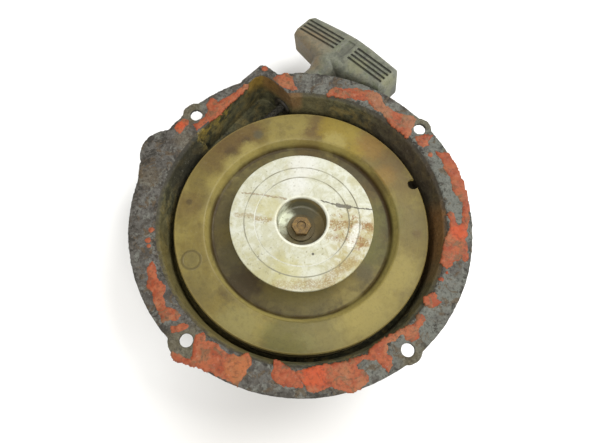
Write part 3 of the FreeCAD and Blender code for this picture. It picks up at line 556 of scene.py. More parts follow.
def nylon_material():
    """Aged yellow-olive nylon, smudged brown and green, with painted light and shade round the
    recess step, painted sheen on the cheek and a painted highlight on the rim.
    """
    r = Recipe("aged_nylon")
    r.put("Specular IOR Level", 0.25)
    broad = r.noise(30, 4, 0.55, 0.6)
    middle = r.noise(8, 5, 0.6, 0.8, shift=21)
    sweep = r.joined(r.radius, r.calc("MULTIPLY", r.calc("ARCTAN2", r.y, r.x), 9.0), r.z)
    swept = r.noise(2.6, 4, 0.6, place=sweep)
    colour = r.mix(r.span(broad, 0.4, 0.6), (0.133, 0.1, 0.026), (0.187, 0.149, 0.04))
    colour = r.over(colour, r.span(middle, 0.5, 0.62), 0.4, (0.1, 0.075, 0.026))
    colour = r.over(colour, r.span(swept, 0.5, 0.7), 0.25, (0.2, 0.16, 0.053))
    # Painted shade over the recess floor.
    sunk_shade = r.span(r.z, -13.5, -17.5)
    colour = r.over(colour, sunk_shade, 0.3, (0.1, 0.08, 0.028))
    for x, y, size, soft, strength, tint in SMUDGES_AND_SHEEN:
        colour = r.over(colour, r.spot(x, y, size, soft * 1.4, size), strength, tint)
    slope = r.both(r.span(r.z, -12.0, -13.0), r.span(r.z, -17.7, -14.5))
    low_right = r.calc("SUBTRACT", r.calc("MULTIPLY", r.x, 0.5), r.y)
    lit = r.both(slope, r.span(low_right, -60, 45, 0.42, 0.9))
    lit = r.both(lit, r.span(middle, 0.35, 0.55, 0.65, 1.0))
    colour = r.mix(lit, colour, (0.33, 0.27, 0.085))
    shaded = r.both(slope, r.spot(44, 25, 5, 9, 4))
    colour = r.over(colour, shaded, 0.6, (0.08, 0.055, 0.022))
    # Painted light: a pale band on the cheek above the step, stronger to the upper left.
    high_left = r.calc("SUBTRACT", r.calc("MULTIPLY", r.y, 0.5), r.x)
    brow = r.both(r.span(r.z, -13.0, -12.2), r.span(r.radius, 59, 54.5))
    brow = r.both(brow, r.span(high_left, -30, 40, 0.0, 0.5))
    colour = r.mix(brow, colour, (0.24, 0.195, 0.06))
    # Painted shade at the foot of the step, in patches.
    foot = r.both(r.span(r.z, -16.9, -17.6), r.span(r.radius, 41, 51))
    patchy = r.span(r.noise(9, 5, 0.6, 0.6, shift=33), 0.4, 0.6, 0.25, 0.7)
    colour = r.over(colour, foot, patchy, (0.05, 0.038, 0.015))
    # Painted shade: a dark line along the step, strongest on the east side.
    step = r.both(r.span(r.radius, 50.2, 51.2), r.span(r.radius, 54.0, 52.2))
    strong = r.either(r.both(r.span(r.noise(20, 2, 0.5, shift=5), 0.45, 0.6), 0.6),
                      r.both(r.span(r.x, 20, 40), r.span(r.y, -14, 4)))
    colour = r.over(colour, step, r.span(strong, 0.0, 1.0, 0.25, 0.95), (0.037, 0.021, 0.005))
    # Painted highlight: a thin pale line along the reel's rim.
    edge = r.span(r.radius, REEL_RADIUS - 1.3, REEL_RADIUS - 0.5)
    colour = r.over(colour, edge, 0.45, (0.255, 0.191, 0.064))
    mark_radius = 5.2
    mark = r.calc("ABSOLUTE", r.calc("SUBTRACT", r.reach(-61.5, -21), mark_radius))
    mark = r.span(mark, 0.3, 0.9, 1.0, 0.0)
    colour = r.over(colour, mark, 0.5, (0.055, 0.04, 0.015))
    colour = r.gritty(colour, 1.8, 0.14)
    r.put("Subsurface Weight", 0.08)
    r.put("Subsurface Radius", (0.004, 0.003, 0.001))
    rough = r.span(swept, 0.3, 0.7, 0.4, 0.55)
    bump = r.bumped(swept, 0.05)
    bump = r.bumped(r.noise(1.2, 5, 0.6), 0.05, bump)
    bump = r.bumped(mark, 0.15, bump)
    return r.finish(colour, rough, bump)


# Rust runs on the plate: start, end, width and strength.
RUST_RUNS = [
    ((15, -2), (38, -3), 3.5, 0.8), ((28, -10), (36, -13), 3.5, 0.8),
    ((-37, 3), (-28, 3), 1.8, 0.5), ((-26, 1), (-18, 0.5), 2, 0.7),
    ((14, -9), (24, -11), 3, 0.5), ((14, -33), (28, -23), 4, 0.55), ((-14, -37), (16, -36), 4, 0.6),
]


def aluminium_material():
    """Pale dull aluminium plate with oxide stains, rust runs and two hairline cracks, with painted
    glare, highlights and groove shade.
    """
    r = Recipe("oxidised_aluminium", metallic=0.15)
    broad = r.noise(17, 5, 0.6, 0.5)
    middle = r.noise(5, 6, 0.65, 0.7, shift=12)
    fine = r.noise(0.9, 4, 0.7)
    colour = r.mix(r.span(middle, 0.4, 0.6), (0.48, 0.485, 0.4), (0.4, 0.395, 0.285))
    colour = r.over(colour, r.span(broad, 0.5, 0.62), 0.6, (0.36, 0.335, 0.19))
    low = r.both(r.span(r.y, 2, -30), r.span(broad, 0.4, 0.56, 0.15, 1.0))
    colour = r.over(colour, low, 0.65, (0.3, 0.275, 0.12))
    right = r.both(r.span(r.x, 10, 24), r.span(r.y, 12, -4))
    colour = r.over(colour, right, r.span(middle, 0.42, 0.58, 0.2, 0.85), (0.32, 0.27, 0.12))
    for start, end, width, amount in RUST_RUNS:
        stain = r.both(r.line(start, end, width, 4.0), r.span(fine, 0.42, 0.52, 0.1, 1.0))
        colour = r.over(colour, stain, amount, (0.21, 0.13, 0.036))
    yellow = r.spots((-19, 8, 4, 5, 6), (-8, -30, 5, 7, 6))
    colour = r.over(colour, yellow, 0.4, (0.38, 0.35, 0.14))
    rust = 0.0
    for place, grain, shift, low, high in (((31, -13, 2.5, 3, 4), 2.4, 5, 0.48, 0.54),
                                           ((24, -3, 7, 4, 6), 2.2, 17, 0.55, 0.6),
                                           ((37, -4, 2, 2, 3), 2.0, 28, 0.47, 0.53)):
        flecks = r.span(r.noise(grain, 6, 0.75, shift=shift), low, high)
        rust = r.either(rust, r.both(r.spot(*place), flecks))
    colour = r.over(colour, rust, 0.8, (0.2, 0.09, 0.02))
    # Painted glare: two pale highlight spots above the cup.
    plate_glare = r.spots((-3, 22, 3, 7, 3), (1, 34, 5, 6, 4))
    colour = r.over(colour, plate_glare, 0.7, (0.56, 0.56, 0.52))
    cup = r.span(r.z, -5.0, -6.6)
    dark = r.mix(r.span(middle, 0.4, 0.6), (0.09, 0.072, 0.024), (0.15, 0.12, 0.042))
    dark = r.mix(r.spot(11, 4, 7, 6, 4), dark, (0.2, 0.15, 0.055))
    shade = r.both(r.spot(2, 12, 6, 6, 3), r.span(r.z, -9, -13))
    dark = r.over(dark, shade, 0.7, (0.09, 0.09, 0.06))
    colour = r.over(colour, cup, 0.97, dark)
    glare = r.either(r.spot(-9.5, 6.5, 3.5, 4, 3), r.both(r.spot(-12, -2, 2, 4, 2), 0.5))
    glare = r.both(glare, r.span(r.z, -5.5, -6.5))
    streak = r.span(r.noise(3.5, 2, 0.5, shift=3), 0.35, 0.55, 0.45, 1.0)
    colour = r.over(colour, glare, streak, (0.62, 0.65, 0.5))
    # Painted highlight: a pale ring on the cup's lip, strongest on the lower-right half.
    lip = r.both(r.span(r.z, -6.2, -5.6), r.span(r.radius, 15.9, 15.3))
    lip = r.both(lip, r.span(r.calc("SUBTRACT", r.x, r.y), -14, 8, 0.25, 0.9))
    colour = r.mix(lip, colour, (0.6, 0.6, 0.5))
    old = r.path([(-34, 16.6), (-22, 15.4), (-9, 13)], (0.7, 0.7), 2.4)
    broken = r.span(r.noise(2.6, 3, 0.6, shift=14), 0.38, 0.5, 0.3, 1.0)
    colour = r.over(colour, old, r.both(broken, 0.75), (0.22, 0.16, 0.09))
    crack = r.path([(11, 12), (20, 9.4), (27, 8.2), (39.6, 7)], (0.5, 1.5, 0.55), 2.4)
    colour = r.over(colour, crack, 0.85, (0.06, 0.05, 0.032))
    crack = r.either(crack, r.both(old, 0.5))
    scuff = r.both(r.line((31, -4), (27, -14), 3.4, 3.0), r.span(fine, 0.4, 0.5))
    colour = r.over(colour, scuff, 0.8, (0.58, 0.58, 0.52))
    speck = r.span(r.noise(1.6, 3, 0.5, shift=70), 0.66, 0.72)
    colour = r.over(colour, speck, 0.6, (0.117, 0.09, 0.041))
    dot = r.spot(6, -19.5, 0.5, 0.5)
    colour = r.over(colour, dot, 0.9, (0.045, 0.036, 0.025))
    # The two turned grooves are painted as lines of shade; on their south-west side the inner
    # groove's line is a painted highlight instead.
    west = r.span(r.calc("ADD", r.x, r.y), 14, -14)
    for turned, worn in ((26.5, (0.55, 0.55, 0.48)), (32.5, (0.24, 0.23, 0.17))):
        groove = r.calc("ABSOLUTE", r.calc("SUBTRACT", r.radius, turned))
        line = r.both(r.span(groove, 0.2, 0.5, 1.0, 0.0), r.span(r.z, -5.0, -4.5))
        patchy = r.span(r.noise(12, 2, 0.5, shift=turned), 0.4, 0.6, 0.3, 0.9)
        tone = r.mix(west, (0.2, 0.185, 0.13), worn)
        colour = r.over(colour, line, patchy, tone)
    colour = r.gritty(colour, 1.3, 0.12)
    rough = r.span(middle, 0.3, 0.7, 0.4, 0.6)
    bump = r.bumped(r.noise(1.6, 6, 0.7), 0.08)
    bump = r.bumped(r.calc("SUBTRACT", 1.0, crack), 0.3, bump)
    return r.finish(colour, rough, bump)


def rust_material():
    """Rusty steel of the bolt and its washer."""
    r = Recipe("rusty_fastener", metallic=0.25)
    middle = r.noise(2.2, 6, 0.7, 0.6)
    colour = r.mix(r.span(middle, 0.35, 0.65), (0.085, 0.05, 0.016), (0.21, 0.13, 0.038))
    colour = r.over(colour, r.span(r.noise(1.0, 5, 0.7, shift=33), 0.55, 0.7), 0.8,
                    (0.3, 0.21, 0.085))
    # Painted shade in creases, from ambient occlusion.
    colour = r.mix(r.span(r.openness(1.5), 0.85, 0.45), colour, (0.05, 0.032, 0.012))
    low = r.span(r.z, -15.0, -16.0)
    colour = r.over(colour, low, 0.9, (0.13, 0.105, 0.05))
    bump = r.bumped(r.noise(0.7, 6, 0.75), 0.15)
    return r.finish(colour, r.span(middle, 0.3, 0.7, 0.5, 0.8), bump)


# Blank panel across the middle of the grip: its middle, half its length and its two ends.
PANEL_CENTRE = (27.9, 116.1)
PANEL_HALF = 3.4
PANEL = [(PANEL_CENTRE[0] + side * PANEL_HALF * ROPE_DIRECTION.x,
          PANEL_CENTRE[1] + side * PANEL_HALF * ROPE_DIRECTION.y) for side in (-1, 1)]


def rubber_material():
    """Hard grey-olive rubber, dusty on its faces and browner on its sides, with painted shade in its
    creases, its panel, its right end and beside the neck.
    """
    r = Recipe("hard_rubber")
    broad = r.noise(15, 4, 0.6)
    middle = r.noise(3.5, 6, 0.65, 0.5)
    fine = r.noise(0.55, 3, 0.6)
    colour = r.mix(r.span(middle, 0.35, 0.65), (0.08, 0.084, 0.06), (0.14, 0.145, 0.105))
    colour = r.over(colour, r.span(broad, 0.5, 0.62), 0.5, (0.15, 0.135, 0.08))
    green = r.span(r.noise(6, 6, 0.7, 0.8, shift=70), 0.53, 0.62)
    colour = r.over(colour, green, 0.5, (0.1, 0.115, 0.055))
    side = r.both(r.spot(2, 122, 13, 9, 5), r.span(r.z, -8.5, -12))
    colour = r.over(colour, side, r.span(middle, 0.4, 0.6, 0.4, 0.85), (0.17, 0.12, 0.06))
    moss = r.spots((35, 104, 4, 4, 4), (53, 92, 3, 3, 3))
    colour = r.over(colour, moss, 0.55, (0.15, 0.15, 0.075))
    shade = r.both(r.spot(33, 95, 10, 9, 4), r.span(r.z, -11, -15))
    colour = r.over(colour, shade, 0.6, (0.045, 0.046, 0.038))
    colour = r.over(colour, r.span(r.noise(1.8, 5, 0.7, shift=50), 0.58, 0.68), 0.4,
                    (0.19, 0.19, 0.15))
    # Painted shade in creases, from ambient occlusion.
    colour = r.mix(r.span(r.openness(2.2), 0.8, 0.35), colour, (0.02, 0.02, 0.016))
    # Painted shade in the recessed blank panel.
    panel = r.both(r.line(PANEL[0], PANEL[1], 4.0), r.span(r.z, -14, -12))
    colour = r.over(colour, panel, 0.5, (0.045, 0.046, 0.036))
    # Painted shade on the right end face.
    end = r.both(r.spot(60, 96, 5, 5, 3), r.span(r.z, -9, -13))
    colour = r.over(colour, end, 0.6, (0.05, 0.052, 0.042))
    colour = r.gritty(colour, 1.6, 0.3)
    bump = r.bumped(middle, 0.16)
    bump = r.bumped(fine, 0.05, bump)
    return r.finish(colour, r.span(middle, 0.3, 0.7, 0.5, 0.72), bump)


def rope_material():
    """Dark greasy rope fibre."""
    r = Recipe("dirty_rope")
    middle = r.noise(5, 5, 0.6)
    yarn = r.noise(0.35, 3, 0.6)
    colour = r.mix(r.span(middle, 0.35, 0.65), (0.016, 0.014, 0.009), (0.035, 0.03, 0.02))
    colour = r.over(colour, r.span(yarn, 0.45, 0.7), 0.5, (0.05, 0.045, 0.03))
    return r.finish(colour, r.span(yarn, 0.3, 0.7, 0.75, 0.95), r.bumped(yarn, 0.12))


def metal_material(name, dark, light, roughness, metallic=0.9, grain=2.0):
    """Plain machined or drawn metal with oil stains."""
    r = Recipe(name, metallic=metallic)
    middle = r.noise(grain * 3, 5, 0.6)
    fine = r.noise(grain * 0.4, 4, 0.6)
    colour = r.mix(r.span(middle, 0.35, 0.65), dark, light)
    colour = r.over(colour, r.span(fine, 0.6, 0.75), 0.4, (0.12, 0.08, 0.045))
    rough = r.span(middle, 0.3, 0.7, roughness - 0.08, roughness + 0.12)
    return r.finish(colour, rough, r.bumped(fine, 0.04))


def black_nylon_material():
    """Moulded black nylon of the rope guide."""
    r = Recipe("black_nylon")
    middle = r.noise(3, 5, 0.6)
    colour = r.mix(r.span(middle, 0.35, 0.65), (0.015, 0.013, 0.01), (0.04, 0.033, 0.022))
    return r.finish(colour, r.span(middle, 0.3, 0.7, 0.4, 0.6), r.bumped(middle, 0.1))


def floor_material():
    """Pale plain floor, with a painted shadow in front of the object."""
    r = Recipe("pale_floor")
    soft = r.noise(160, 3, 0.5)
    colour = r.mix(r.span(soft, 0.3, 0.7), (0.86, 0.855, 0.84), (0.9, 0.9, 0.89))
    # Painted shadow in front of the object.
    colour = r.over(colour, r.spot(-5, -165, 55, 85), 0.6, (0.5, 0.485, 0.46))
    return r.finish(colour, 0.7, r.bumped(r.noise(2, 3, 0.5), 0.02))


# ---------------- sealant left on the flange

# Outlines of the larger patches in the flange plane, in millimetres from the reel axis.
PATCHES = [
    [(-32.5, 84.7), (-32.2, 83.6), (-35.6, 80), (-40.6, 75), (-42.8, 72.8), (-45.6, 69.4),
     (-48.9, 65), (-52.2, 62.2), (-56.7, 58.9), (-59.4, 55.6), (-61.4, 54.7), (-63.3, 57.8),
     (-60, 59.7), (-56.7, 62.8), (-55, 66.7), (-56.4, 71.1), (-54.4, 74.7), (-52.2, 75.3),
     (-49.7, 73.1), (-46.7, 75), (-42.8, 77.2), (-40, 80), (-36.7, 82.8), (-34.4, 84.7)],
    [(-73.3, 56.7), (-71.7, 58.9), (-69.4, 61.1), (-67.2, 60.6), (-66.7, 58.3), (-68.3, 55.6),
     (-71.1, 52.5), (-73.3, 53.9)],
    [(-16.7, 90), (-15, 91.7), (-10, 93.4), (-7.5, 92.8), (-5.3, 91.3), (-5.3, 88.1), (-4.4, 85),
     (-2.5, 82.5), (-5, 81.9), (-8.1, 82.9), (-11.1, 84), (-13.3, 86.1), (-15.6, 88.3)],
    [(15.6, 80), (18.8, 82.5), (20.6, 84.1), (25, 83.1), (30, 83.4), (35, 83.1), (37.5, 81.9),
     (40, 82.2), (43.1, 81.9), (46.9, 78.8), (48.1, 75), (50, 71.9), (52.5, 69.4), (56.3, 66.9),
     (60.6, 65), (66.3, 64.4), (67.4, 62.6), (66.2, 60), (65, 56.3), (63.8, 52.5), (61.3, 51.3),
     (57.5, 55), (53.8, 58.8), (50.6, 63.8), (47.5, 67.5), (43.8, 69.4), (41.3, 72.5),
     (39.4, 75.6), (35.6, 75.3), (32.5, 75.3), (28.8, 76.9), (23.8, 77.7), (19.4, 78.6),
     (16.3, 78.8)],
    [(66.9, 51.9), (70, 51.3), (74.4, 52.5), (76.6, 51.9), (73.8, 48.8), (73.1, 45.6),
     (70.6, 44.4), (67.5, 46.9), (66.6, 49.4)],
    [(77.8, 41.7), (80, 40.3), (85, 40.3), (87, 35.6), (89, 30.6), (90.4, 26.1), (92, 20),
     (93, 14.4), (93.4, 8.9), (92.8, 2.8), (91.9, -2.8), (90.6, -8.3), (89.4, -11.1), (90, -17.8),
     (89.4, -23.9), (87.8, -24.4), (86.1, -22.8), (82.2, -23.9), (80.6, -26.7), (77.2, -27.8),
     (75.6, -25), (76.7, -19.4), (78.9, -12.2), (81.1, -6.1), (82.5, -1.7), (81.1, 2.8),
     (82.8, 3.9), (84.4, 2.8), (84.4, -1.1), (85.6, -5), (87.8, -4.4), (88.9, -1.1), (89.7, 3.9),
     (90.6, 8.9), (88.9, 12.2), (86.1, 16.7), (85, 23.3), (83.3, 27.8), (81.7, 30.6),
     (82.2, 33.3), (80.6, 36.7), (78.6, 39.4)],
    [(64.7, -44.2), (70.3, -41.6), (71, -43.8), (70.8, -45.2), (73.1, -46.6), (71.3, -48.4),
     (67.5, -49.4), (64.7, -48.4), (64.2, -47)],
    [(-3.9, -83), (-0.2, -82.3), (3.1, -80.9), (7.3, -80), (12.5, -79.1), (17.2, -78.6),
     (21.9, -77.7), (25.6, -76.7), (29.4, -75.1), (33.8, -74.5), (35.6, -70.5), (39.8, -67.7),
     (45, -64.4), (50.2, -61.8), (53.9, -59.7), (57.2, -58.8), (59.1, -55.9), (60.7, -52.7),
     (62.4, -53.1), (63.5, -55.5), (61.9, -58.8), (60, -60.2), (59.5, -64.4), (57.7, -66.3),
     (55.8, -67.4), (53.9, -66.7), (52.5, -63.4), (50.6, -63.4), (47.8, -66.3), (43.6, -68.1),
     (42.2, -72.8), (45, -74.7), (44.3, -80.3), (43.1, -82.9), (41.7, -80.3), (39.4, -78.4),
     (37.5, -76.1), (33.8, -75.8), (30.2, -76.6), (26.6, -78.6), (28, -80.9), (30.8, -81.4),
     (32.2, -83.8), (33.1, -87), (28.9, -90.2), (24.7, -91.8), (21.9, -92.2), (19.5, -91.3),
     (16.3, -90.3), (13.4, -89.4), (10.6, -90.3), (7.3, -91.3), (5, -92.2), (2.7, -91.7),
     (1.3, -88.9), (-1.6, -85.6)],
    [(-14.2, -77), (-11.4, -77.4), (-9.1, -79.5), (-6.2, -80.9), (-4.4, -82.8), (-1.6, -86.1),
     (-0.2, -88), (-0.2, -89.8), (-2.5, -89.4), (-6.2, -89.6), (-9.5, -89.4), (-12.8, -87.5),
     (-15.4, -85.2), (-14.7, -81.4)],
    [(-54.6, -64.4), (-51.1, -63), (-50, -65), (-50, -67.3), (-47.1, -67.9), (-43.1, -69),
     (-41, -71.9), (-36.7, -73.7), (-32.1, -75.7), (-28.1, -74), (-26.3, -75.7), (-26.6, -78.9),
     (-29.8, -84.1), (-32.7, -89), (-39.6, -85.4), (-48.8, -81.6), (-55.2, -78.6), (-56.3, -76.6),
     (-55.8, -73.1), (-56.3, -71.4), (-55.2, -67.9)],
    [(-66, -73.4), (-62.7, -74.6), (-57.5, -76.4), (-54, -77.6), (-54.6, -79.6), (-60.4, -77.5),
     (-64.6, -75.9)],
    [(-80, -25.2), (-78.6, -28.1), (-77.1, -32.7), (-76, -35.6), (-73.6, -37.9), (-71.6, -39.9),
     (-72.2, -42.2), (-73.6, -43.7), (-72.8, -47.1), (-70.8, -50.3), (-67.3, -51.4), (-65, -52),
     (-63.8, -54), (-65, -56.6), (-68.5, -56.1), (-70.8, -56.9), (-72.5, -57.5), (-73.9, -54.6),
     (-75.1, -51.2), (-77.1, -47.7), (-78.3, -43.1), (-81.2, -38.5), (-81.4, -34.4),
     (-82.6, -29.8)],
    [(-67.3, -60.4), (-64.4, -59.2), (-61, -59.2), (-59.8, -59.8), (-61.5, -61.3),
     (-63.8, -62.1), (-66.4, -62.7)],
]

# Small round remains: x, y and radius.
DOTS = [(-22.5, 96.7, 1.6), (74.4, 39.4, 0.9), (-82.6, -7.5, 1.2), (-83.6, -13.5, 1.3),
        (74.4, -34.4, 0.8), (-82.8, -16.5, 0.7), (77.5, -31, 0.5)]

CRUST_STEP = 0.5   # spacing of the crust's mesh points
CRUST_HEM = 0.8    # how far the thin hem reaches outside an outline
CRUST_FOOT = -0.9  # height of the crust's underside, inside the flange


def value_noise(x, y, grain, seed):
    """Smooth noise from -1 to 1 on arrays of places, with features about grain wide."""
    table = np.random.default_rng(seed).uniform(-1, 1, (64, 64))
    always_positive = 500
    u, v = x / grain + always_positive, y / grain + always_positive
    i, j = np.floor(u).astype(int), np.floor(v).astype(int)
    fu, fv = u - i, v - j
    fu, fv = fu * fu * (3 - 2 * fu), fv * fv * (3 - 2 * fv)
    corner = [[table[(i + a) % 64, (j + b) % 64] for b in (0, 1)] for a in (0, 1)]
    near = corner[0][0] * (1 - fu) + corner[1][0] * fu
    far = corner[0][1] * (1 - fu) + corner[1][1] * fu
    return near * (1 - fv) + far * fv


def inside_distance(x, y, outline):
    """Distance to an outline, positive inside it."""
    best = np.full(x.shape, 1e9)
    inside = np.zeros(x.shape, bool)
    for (ax, ay), (bx, by) in zip(outline, outline[1:] + outline[:1]):
        dx, dy = bx - ax, by - ay
        share = np.clip(((x - ax) * dx + (y - ay) * dy) / (dx * dx + dy * dy), 0, 1)
        best = np.minimum(best, np.hypot(x - ax - share * dx, y - ay - share * dy))
        crosses = (ay > y) != (by > y)
        at = ax + (y - ay) * dx / (dy if abs(dy) > 1e-9 else 1e-9)
        inside ^= crosses & (x < at)
    return np.where(inside, best, -best)


def crust_top(depth, lumps):
    """Height of the crust's top: a thin hem tucked into the flange, then a lumpy rise."""
    rise = np.clip(depth / 1.1, -1, 1)
    tucked = 0.5 * (rise < -0.3)
    return 0.28 * rise + 0.12 + np.where(rise > 0, lumps * rise, 0) - tucked


def flake(x, y, depth, top):
    """Closed crust from its top down to its foot, wherever the depth reaches past its hem."""
    keep = depth > -CRUST_HEM
    cells = keep[:-1, :-1] & keep[1:, :-1] & keep[:-1, 1:] & keep[1:, 1:]
    used = np.zeros(x.shape, bool)
    for a in (0, 1):
        for b in (0, 1):
            used[a:a + cells.shape[0], b:b + cells.shape[1]] |= cells
    number = np.full(x.shape, -1)
    number[used] = np.arange(used.sum())
    count = int(used.sum())
    upper = np.stack([x[used], y[used], top[used]], 1)
    lower = np.stack([x[used], y[used], np.full(count, CRUST_FOOT)], 1)
    faces = []
    edges = {}
    for i, j in zip(*np.nonzero(cells)):
        quad = (number[i, j], number[i + 1, j], number[i + 1, j + 1], number[i, j + 1])
        faces.append(quad)
        faces.append(tuple(corner + count for corner in reversed(quad)))
        for first, second in zip(quad, quad[1:] + quad[:1]):
            if (second, first) in edges:
                del edges[(second, first)]
            else:
                edges[(first, second)] = True
    for first, second in edges:
        faces.append((second, first, first + count, second + count))
    return np.concatenate([upper, lower]).tolist(), [tuple(int(c) for c in f) for f in faces]


def make_sealant(material):
    """Lumpy crusts of old sealant in the outlines and round the dots."""
    vertices, faces = [], []
    outlines = [(outline, None) for outline in PATCHES] + [(None, dot) for dot in DOTS]
    for index, (outline, dot) in enumerate(outlines):
        if outline:
            xs, ys = zip(*outline)
            margin = 3.0
        else:
            xs, ys = (dot[0] - dot[2], dot[0] + dot[2]), (dot[1] - dot[2], dot[1] + dot[2])
            margin = 2.0
        x, y = np.meshgrid(np.arange(min(xs) - margin, max(xs) + margin, CRUST_STEP),
                           np.arange(min(ys) - margin, max(ys) + margin, CRUST_STEP),
                           indexing="ij")
        if outline:
            depth = inside_distance(x, y, outline)
        else:
            depth = dot[2] - np.hypot(x - dot[0], y - dot[1])
        ragged = 1.0 if outline else 0.5
        depth = depth + ragged * (0.5 * value_noise(x, y, 3.1, 11 + index)
                                  + 0.45 * value_noise(x, y, 1.2, 31 + index)) + 0.25
        lumps = (0.16 * value_noise(x, y, 2.2, 51 + index)
                 + 0.1 * value_noise(x, y, 0.9, 91 + index))

        more, quads = flake(x, y, depth, crust_top(depth, lumps))
        shift = len(vertices)
        vertices += more
        faces += [tuple(corner + shift for corner in face) for face in quads]
    new_piece("sealant_remains", vertices, faces, material, "housing")


# ---------------- pieces

def make_housing(material):
    """The cast cover with worn edges, most ragged along the flange's rim."""
    rim_radius = 92.5
    rim_fade = 1.5
    skin = skin_of("housing", "housing_shell", 0.6, 1, material)
    weigh(skin, "rim", lambda p: (np.hypot(p[:, 0], p[:, 1]) - rim_radius) / rim_fade)
    roughen(skin, 0.3, 9.0)
    roughen(skin, 0.16, 2.2)
    roughen(skin, 0.5, 4.0, "rim", depth=3)
    apply_modifiers(skin)
    skin.vertex_groups.clear()
    settle(skin, "housing", "housing")


def make_handle(material):
    """The moulded grip with softened edges."""
    skin = skin_of("handle_grip", "handle_grip_moulded", 0.3, 1, material)
    roughen(skin, 0.12, 5.0)
    roughen(skin, 0.06, 1.2)
    apply_modifiers(skin)
    settle(skin, "handle", "handle_grip")


def box_middle(node):
    """Middle of a node's box, in metres."""
    low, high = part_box(node)
    return [(a + b) / 2 for a, b in zip(low, high)]


def rope_ends():
    """The rope's start at the reel and its end at the handle's knot, in millimetres."""
    low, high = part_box("rope_lead")
    radius = (high[2] - low[2]) / 2
    middle = (low[2] + high[2]) / 2
    trim = radius * ROPE_DIRECTION.y
    start = Vector((low[0] + trim, low[1] + trim, middle)) / MM
    end = Vector((high[0] - trim, high[1] - trim, middle)) / MM
    return start, end, radius / MM


ROPE_STRANDS = 8
ROPE_LAY = 15.0     # length in which a strand goes once around the rope
LAYERS = 3
TURNS_PER_LAYER = 2
LAYER_PITCH = 3.37  # from one layer of turns to the next


def make_rope_lead(material):
    """Braided rope from the reel to a little way into the handle's knot."""
    start, end, radius = rope_ends()
    tail = 4.0
    count = 190
    share = np.linspace(0, 1, count)[:, None]
    line = np.array(start) * (1 - share) + np.array(end + ROPE_DIRECTION * tail) * share
    vertices, faces = braid(line, radius, ROPE_STRANDS, ROPE_LAY)
    lead = new_piece("rope_lead_braid", vertices, faces, material, None, "rope_lead")
    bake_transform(lead)


def wound_points():
    """Middle line of the wound turns, layer on layer, ending where the lead leaves the reel."""
    start, _, radius = rope_ends()
    low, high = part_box("rope_coil")
    clearance = 0.15
    bottom = low[2] / MM + radius + clearance
    top = high[2] / MM - radius - clearance
    end_angle = math.atan2(start.y, start.x)
    root = math.hypot(start.x, start.y) - (LAYERS - 1) * LAYER_PITCH
    climb_share = 0.08
    per_turn = 150
    turns = LAYERS * TURNS_PER_LAYER
    total = turns * per_turn
    points = []
    for index in range(total + 1):
        turn = index / per_turn
        layer = min(int(turn / TURNS_PER_LAYER), LAYERS - 1)
        inside = turn / TURNS_PER_LAYER - layer
        ease = min(1.0, inside / climb_share) if layer else 1.0
        reach = root + LAYER_PITCH * (layer - 1 + ease) if layer else root
        way = inside if layer % 2 == 0 else 1 - inside
        height = bottom + (top - bottom) * way
        angle = end_angle + 2 * math.pi * (turn - turns)
        points.append((reach * math.cos(angle), reach * math.sin(angle), height))
    last_stretch = per_turn // 2
    for step in range(1, last_stretch + 1):
        index = total - last_stretch + step
        x, y, z = points[index]
        points[index] = (x, y, z + (start.z - z) * step / last_stretch)
    return points


def make_wound_turns(material):
    """Braided turns of rope on the reel, a little slimmer than the free rope."""
    radius = rope_ends()[2] * 0.98
    vertices, faces = braid(wound_points(), radius, ROPE_STRANDS, ROPE_LAY, sides=4)
    new_piece("rope_wound_turns", vertices, faces, material, "reel", "rope_coil")


def knot_line(centre, size, frame_z):
    """Overhand knot as a trefoil-like closed-in path."""
    frame_z = Vector(frame_z).normalized()
    frame_x = frame_z.orthogonal().normalized()
    frame_y = frame_z.cross(frame_x)
    count = 90
    closed_share = 0.985
    stretch = 1.1
    points = []
    for index in range(count + 1):
        angle = 2 * math.pi * index / count * closed_share
        x = math.sin(angle) + 2 * math.sin(2 * angle)
        y = math.cos(angle) - 2 * math.cos(2 * angle)
        z = -math.sin(3 * angle)
        place = frame_x * (x * size) + frame_y * (y * size) + frame_z * (z * size * stretch)
        points.append(tuple(Vector(centre) + place))
    return points


def make_knot(node, name, body, material, frame_z, size, radius):
    """Knot tied in the middle of a CAD knot's place."""
    centre = [c / MM for c in box_middle(node)]
    tight_lay = 9.0
    line = knot_line(centre, size, frame_z)
    vertices, faces = braid(line, radius, ROPE_STRANDS, tight_lay, sides=5)
    new_piece(name, vertices, faces, material, body, node)


def make_floor(material):
    """Six metre square floor, just under the object."""
    gap = 0.0002
    bpy.ops.mesh.primitive_plane_add(size=6.0, location=(0, 0, FLOOR_Z - gap))
    floor = bpy.context.object
    floor.name = "studio_floor"
    floor.data.materials.append(material)


def area_light(name, place, size, power, colour=(1, 1, 1)):
    """Round lamp turned to the middle of the flange."""
    data = bpy.data.lights.new(name, "AREA")
    data.shape = "DISK"
    data.size = size
    data.energy = power
    data.color = colour
    light = bpy.data.objects.new(name, data)
    bpy.context.scene.collection.objects.link(light)
    light.location = place
    light.rotation_euler = (-Vector(place)).to_track_quat("-Z", "Y").to_euler()


CAMERA_PLACE = (-0.00885, -0.10665, 0.29026)
CAMERA_RIGHT = (0.99985, 0.0, 0.01704)
CAMERA_UP = (-0.00577, 0.94092, 0.33859)
CAMERA_LENS = 34.17


def make_camera():
    """Looks down into the mouth from the near side, tilted 20 degrees off the reel axis."""
    data = bpy.data.cameras.new("camera")
    data.sensor_width = 36
    data.lens = CAMERA_LENS
    data.clip_start = 0.01
    data.clip_end = 20
    camera = bpy.data.objects.new("camera", data)
    bpy.context.scene.collection.objects.link(camera)
    right = Vector(CAMERA_RIGHT)
    up = Vector(CAMERA_UP)
    back = right.cross(up)
    turn = Matrix((right, up, back)).transposed()
    camera.matrix_world = Matrix.Translation(CAMERA_PLACE) @ turn.to_4x4()
    bpy.context.scene.camera = camera


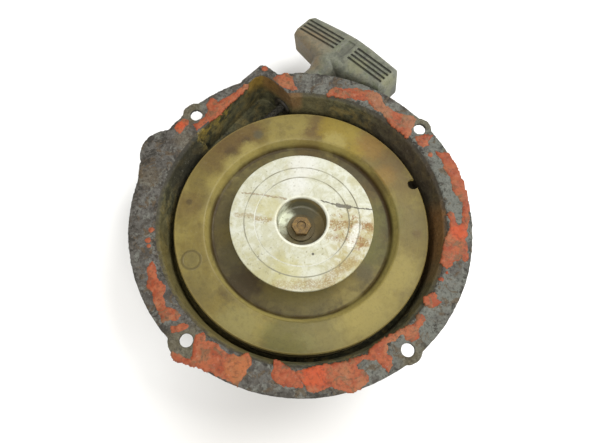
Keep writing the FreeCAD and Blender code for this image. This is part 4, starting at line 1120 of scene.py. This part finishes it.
def make_world():
    """Soft pale studio surroundings."""
    world = bpy.data.worlds.new("studio")
    world.use_nodes = True
    background = world.node_tree.nodes["Background"]
    background.inputs[0].default_value = (1.0, 0.99, 0.975, 1)
    background.inputs[1].default_value = 0.7
    bpy.context.scene.world = world


def paint_nodes(finishes):
    """Give every CAD node that stays visible its own material."""
    for node, material in finishes.items():
        for slot in frame["nodes"][node].material_slots:
            slot.material = material


casting = casting_material()
sealant = sealant_material()
nylon = nylon_material()
aluminium = aluminium_material()
rust = rust_material()
rubber = rubber_material()
rope = rope_material()
black_nylon = black_nylon_material()
steel = metal_material("plain_steel", (0.30, 0.29, 0.27), (0.46, 0.45, 0.43), 0.35)
pawl_steel = metal_material("hardened_steel", (0.17, 0.155, 0.14), (0.32, 0.3, 0.27), 0.4)
spring_steel = metal_material("blued_spring", (0.07, 0.075, 0.09), (0.16, 0.16, 0.18), 0.3)
bronze = metal_material("sintered_bronze", (0.3, 0.17, 0.06), (0.46, 0.3, 0.13), 0.45)

make_housing(casting)
make_sealant(sealant)
make_handle(rubber)
make_rope_lead(rope)
make_wound_turns(rope)
make_knot("handle_knot", "handle_knot_tied", "handle", rope, ROPE_DIRECTION, 0.92, 2.0)
make_knot("reel_knot", "reel_knot_tied", "reel", rope, (0, 0, 1), 0.9, 1.5)

paint_nodes({
    "rope_guide_bush": black_nylon, "centre_post": steel, "thrust_washer": steel,
    "spiral_spring": spring_steel, "spring_anchor_pin": steel, "reel": nylon,
    "reel_bush": bronze, "pawl_pin_a": steel, "pawl_pin_b": steel, "pawl_a": pawl_steel,
    "pawl_b": pawl_steel, "pawl_spring_a": spring_steel, "pawl_spring_b": spring_steel,
    "friction_plate": aluminium, "friction_spring": spring_steel, "centre_washer": rust,
    "centre_bolt": rust, "rope_retainer": steel,
})

make_floor(floor_material())
make_world()
area_light("key", (0.85, 0.5, 1.1), size=1.1, power=20)
area_light("fill", (0.1, -0.85, 1.05), size=1.1, power=14, colour=(1, 0.99, 0.97))
make_camera()
bpy.context.scene.view_settings.view_transform = "Standard"
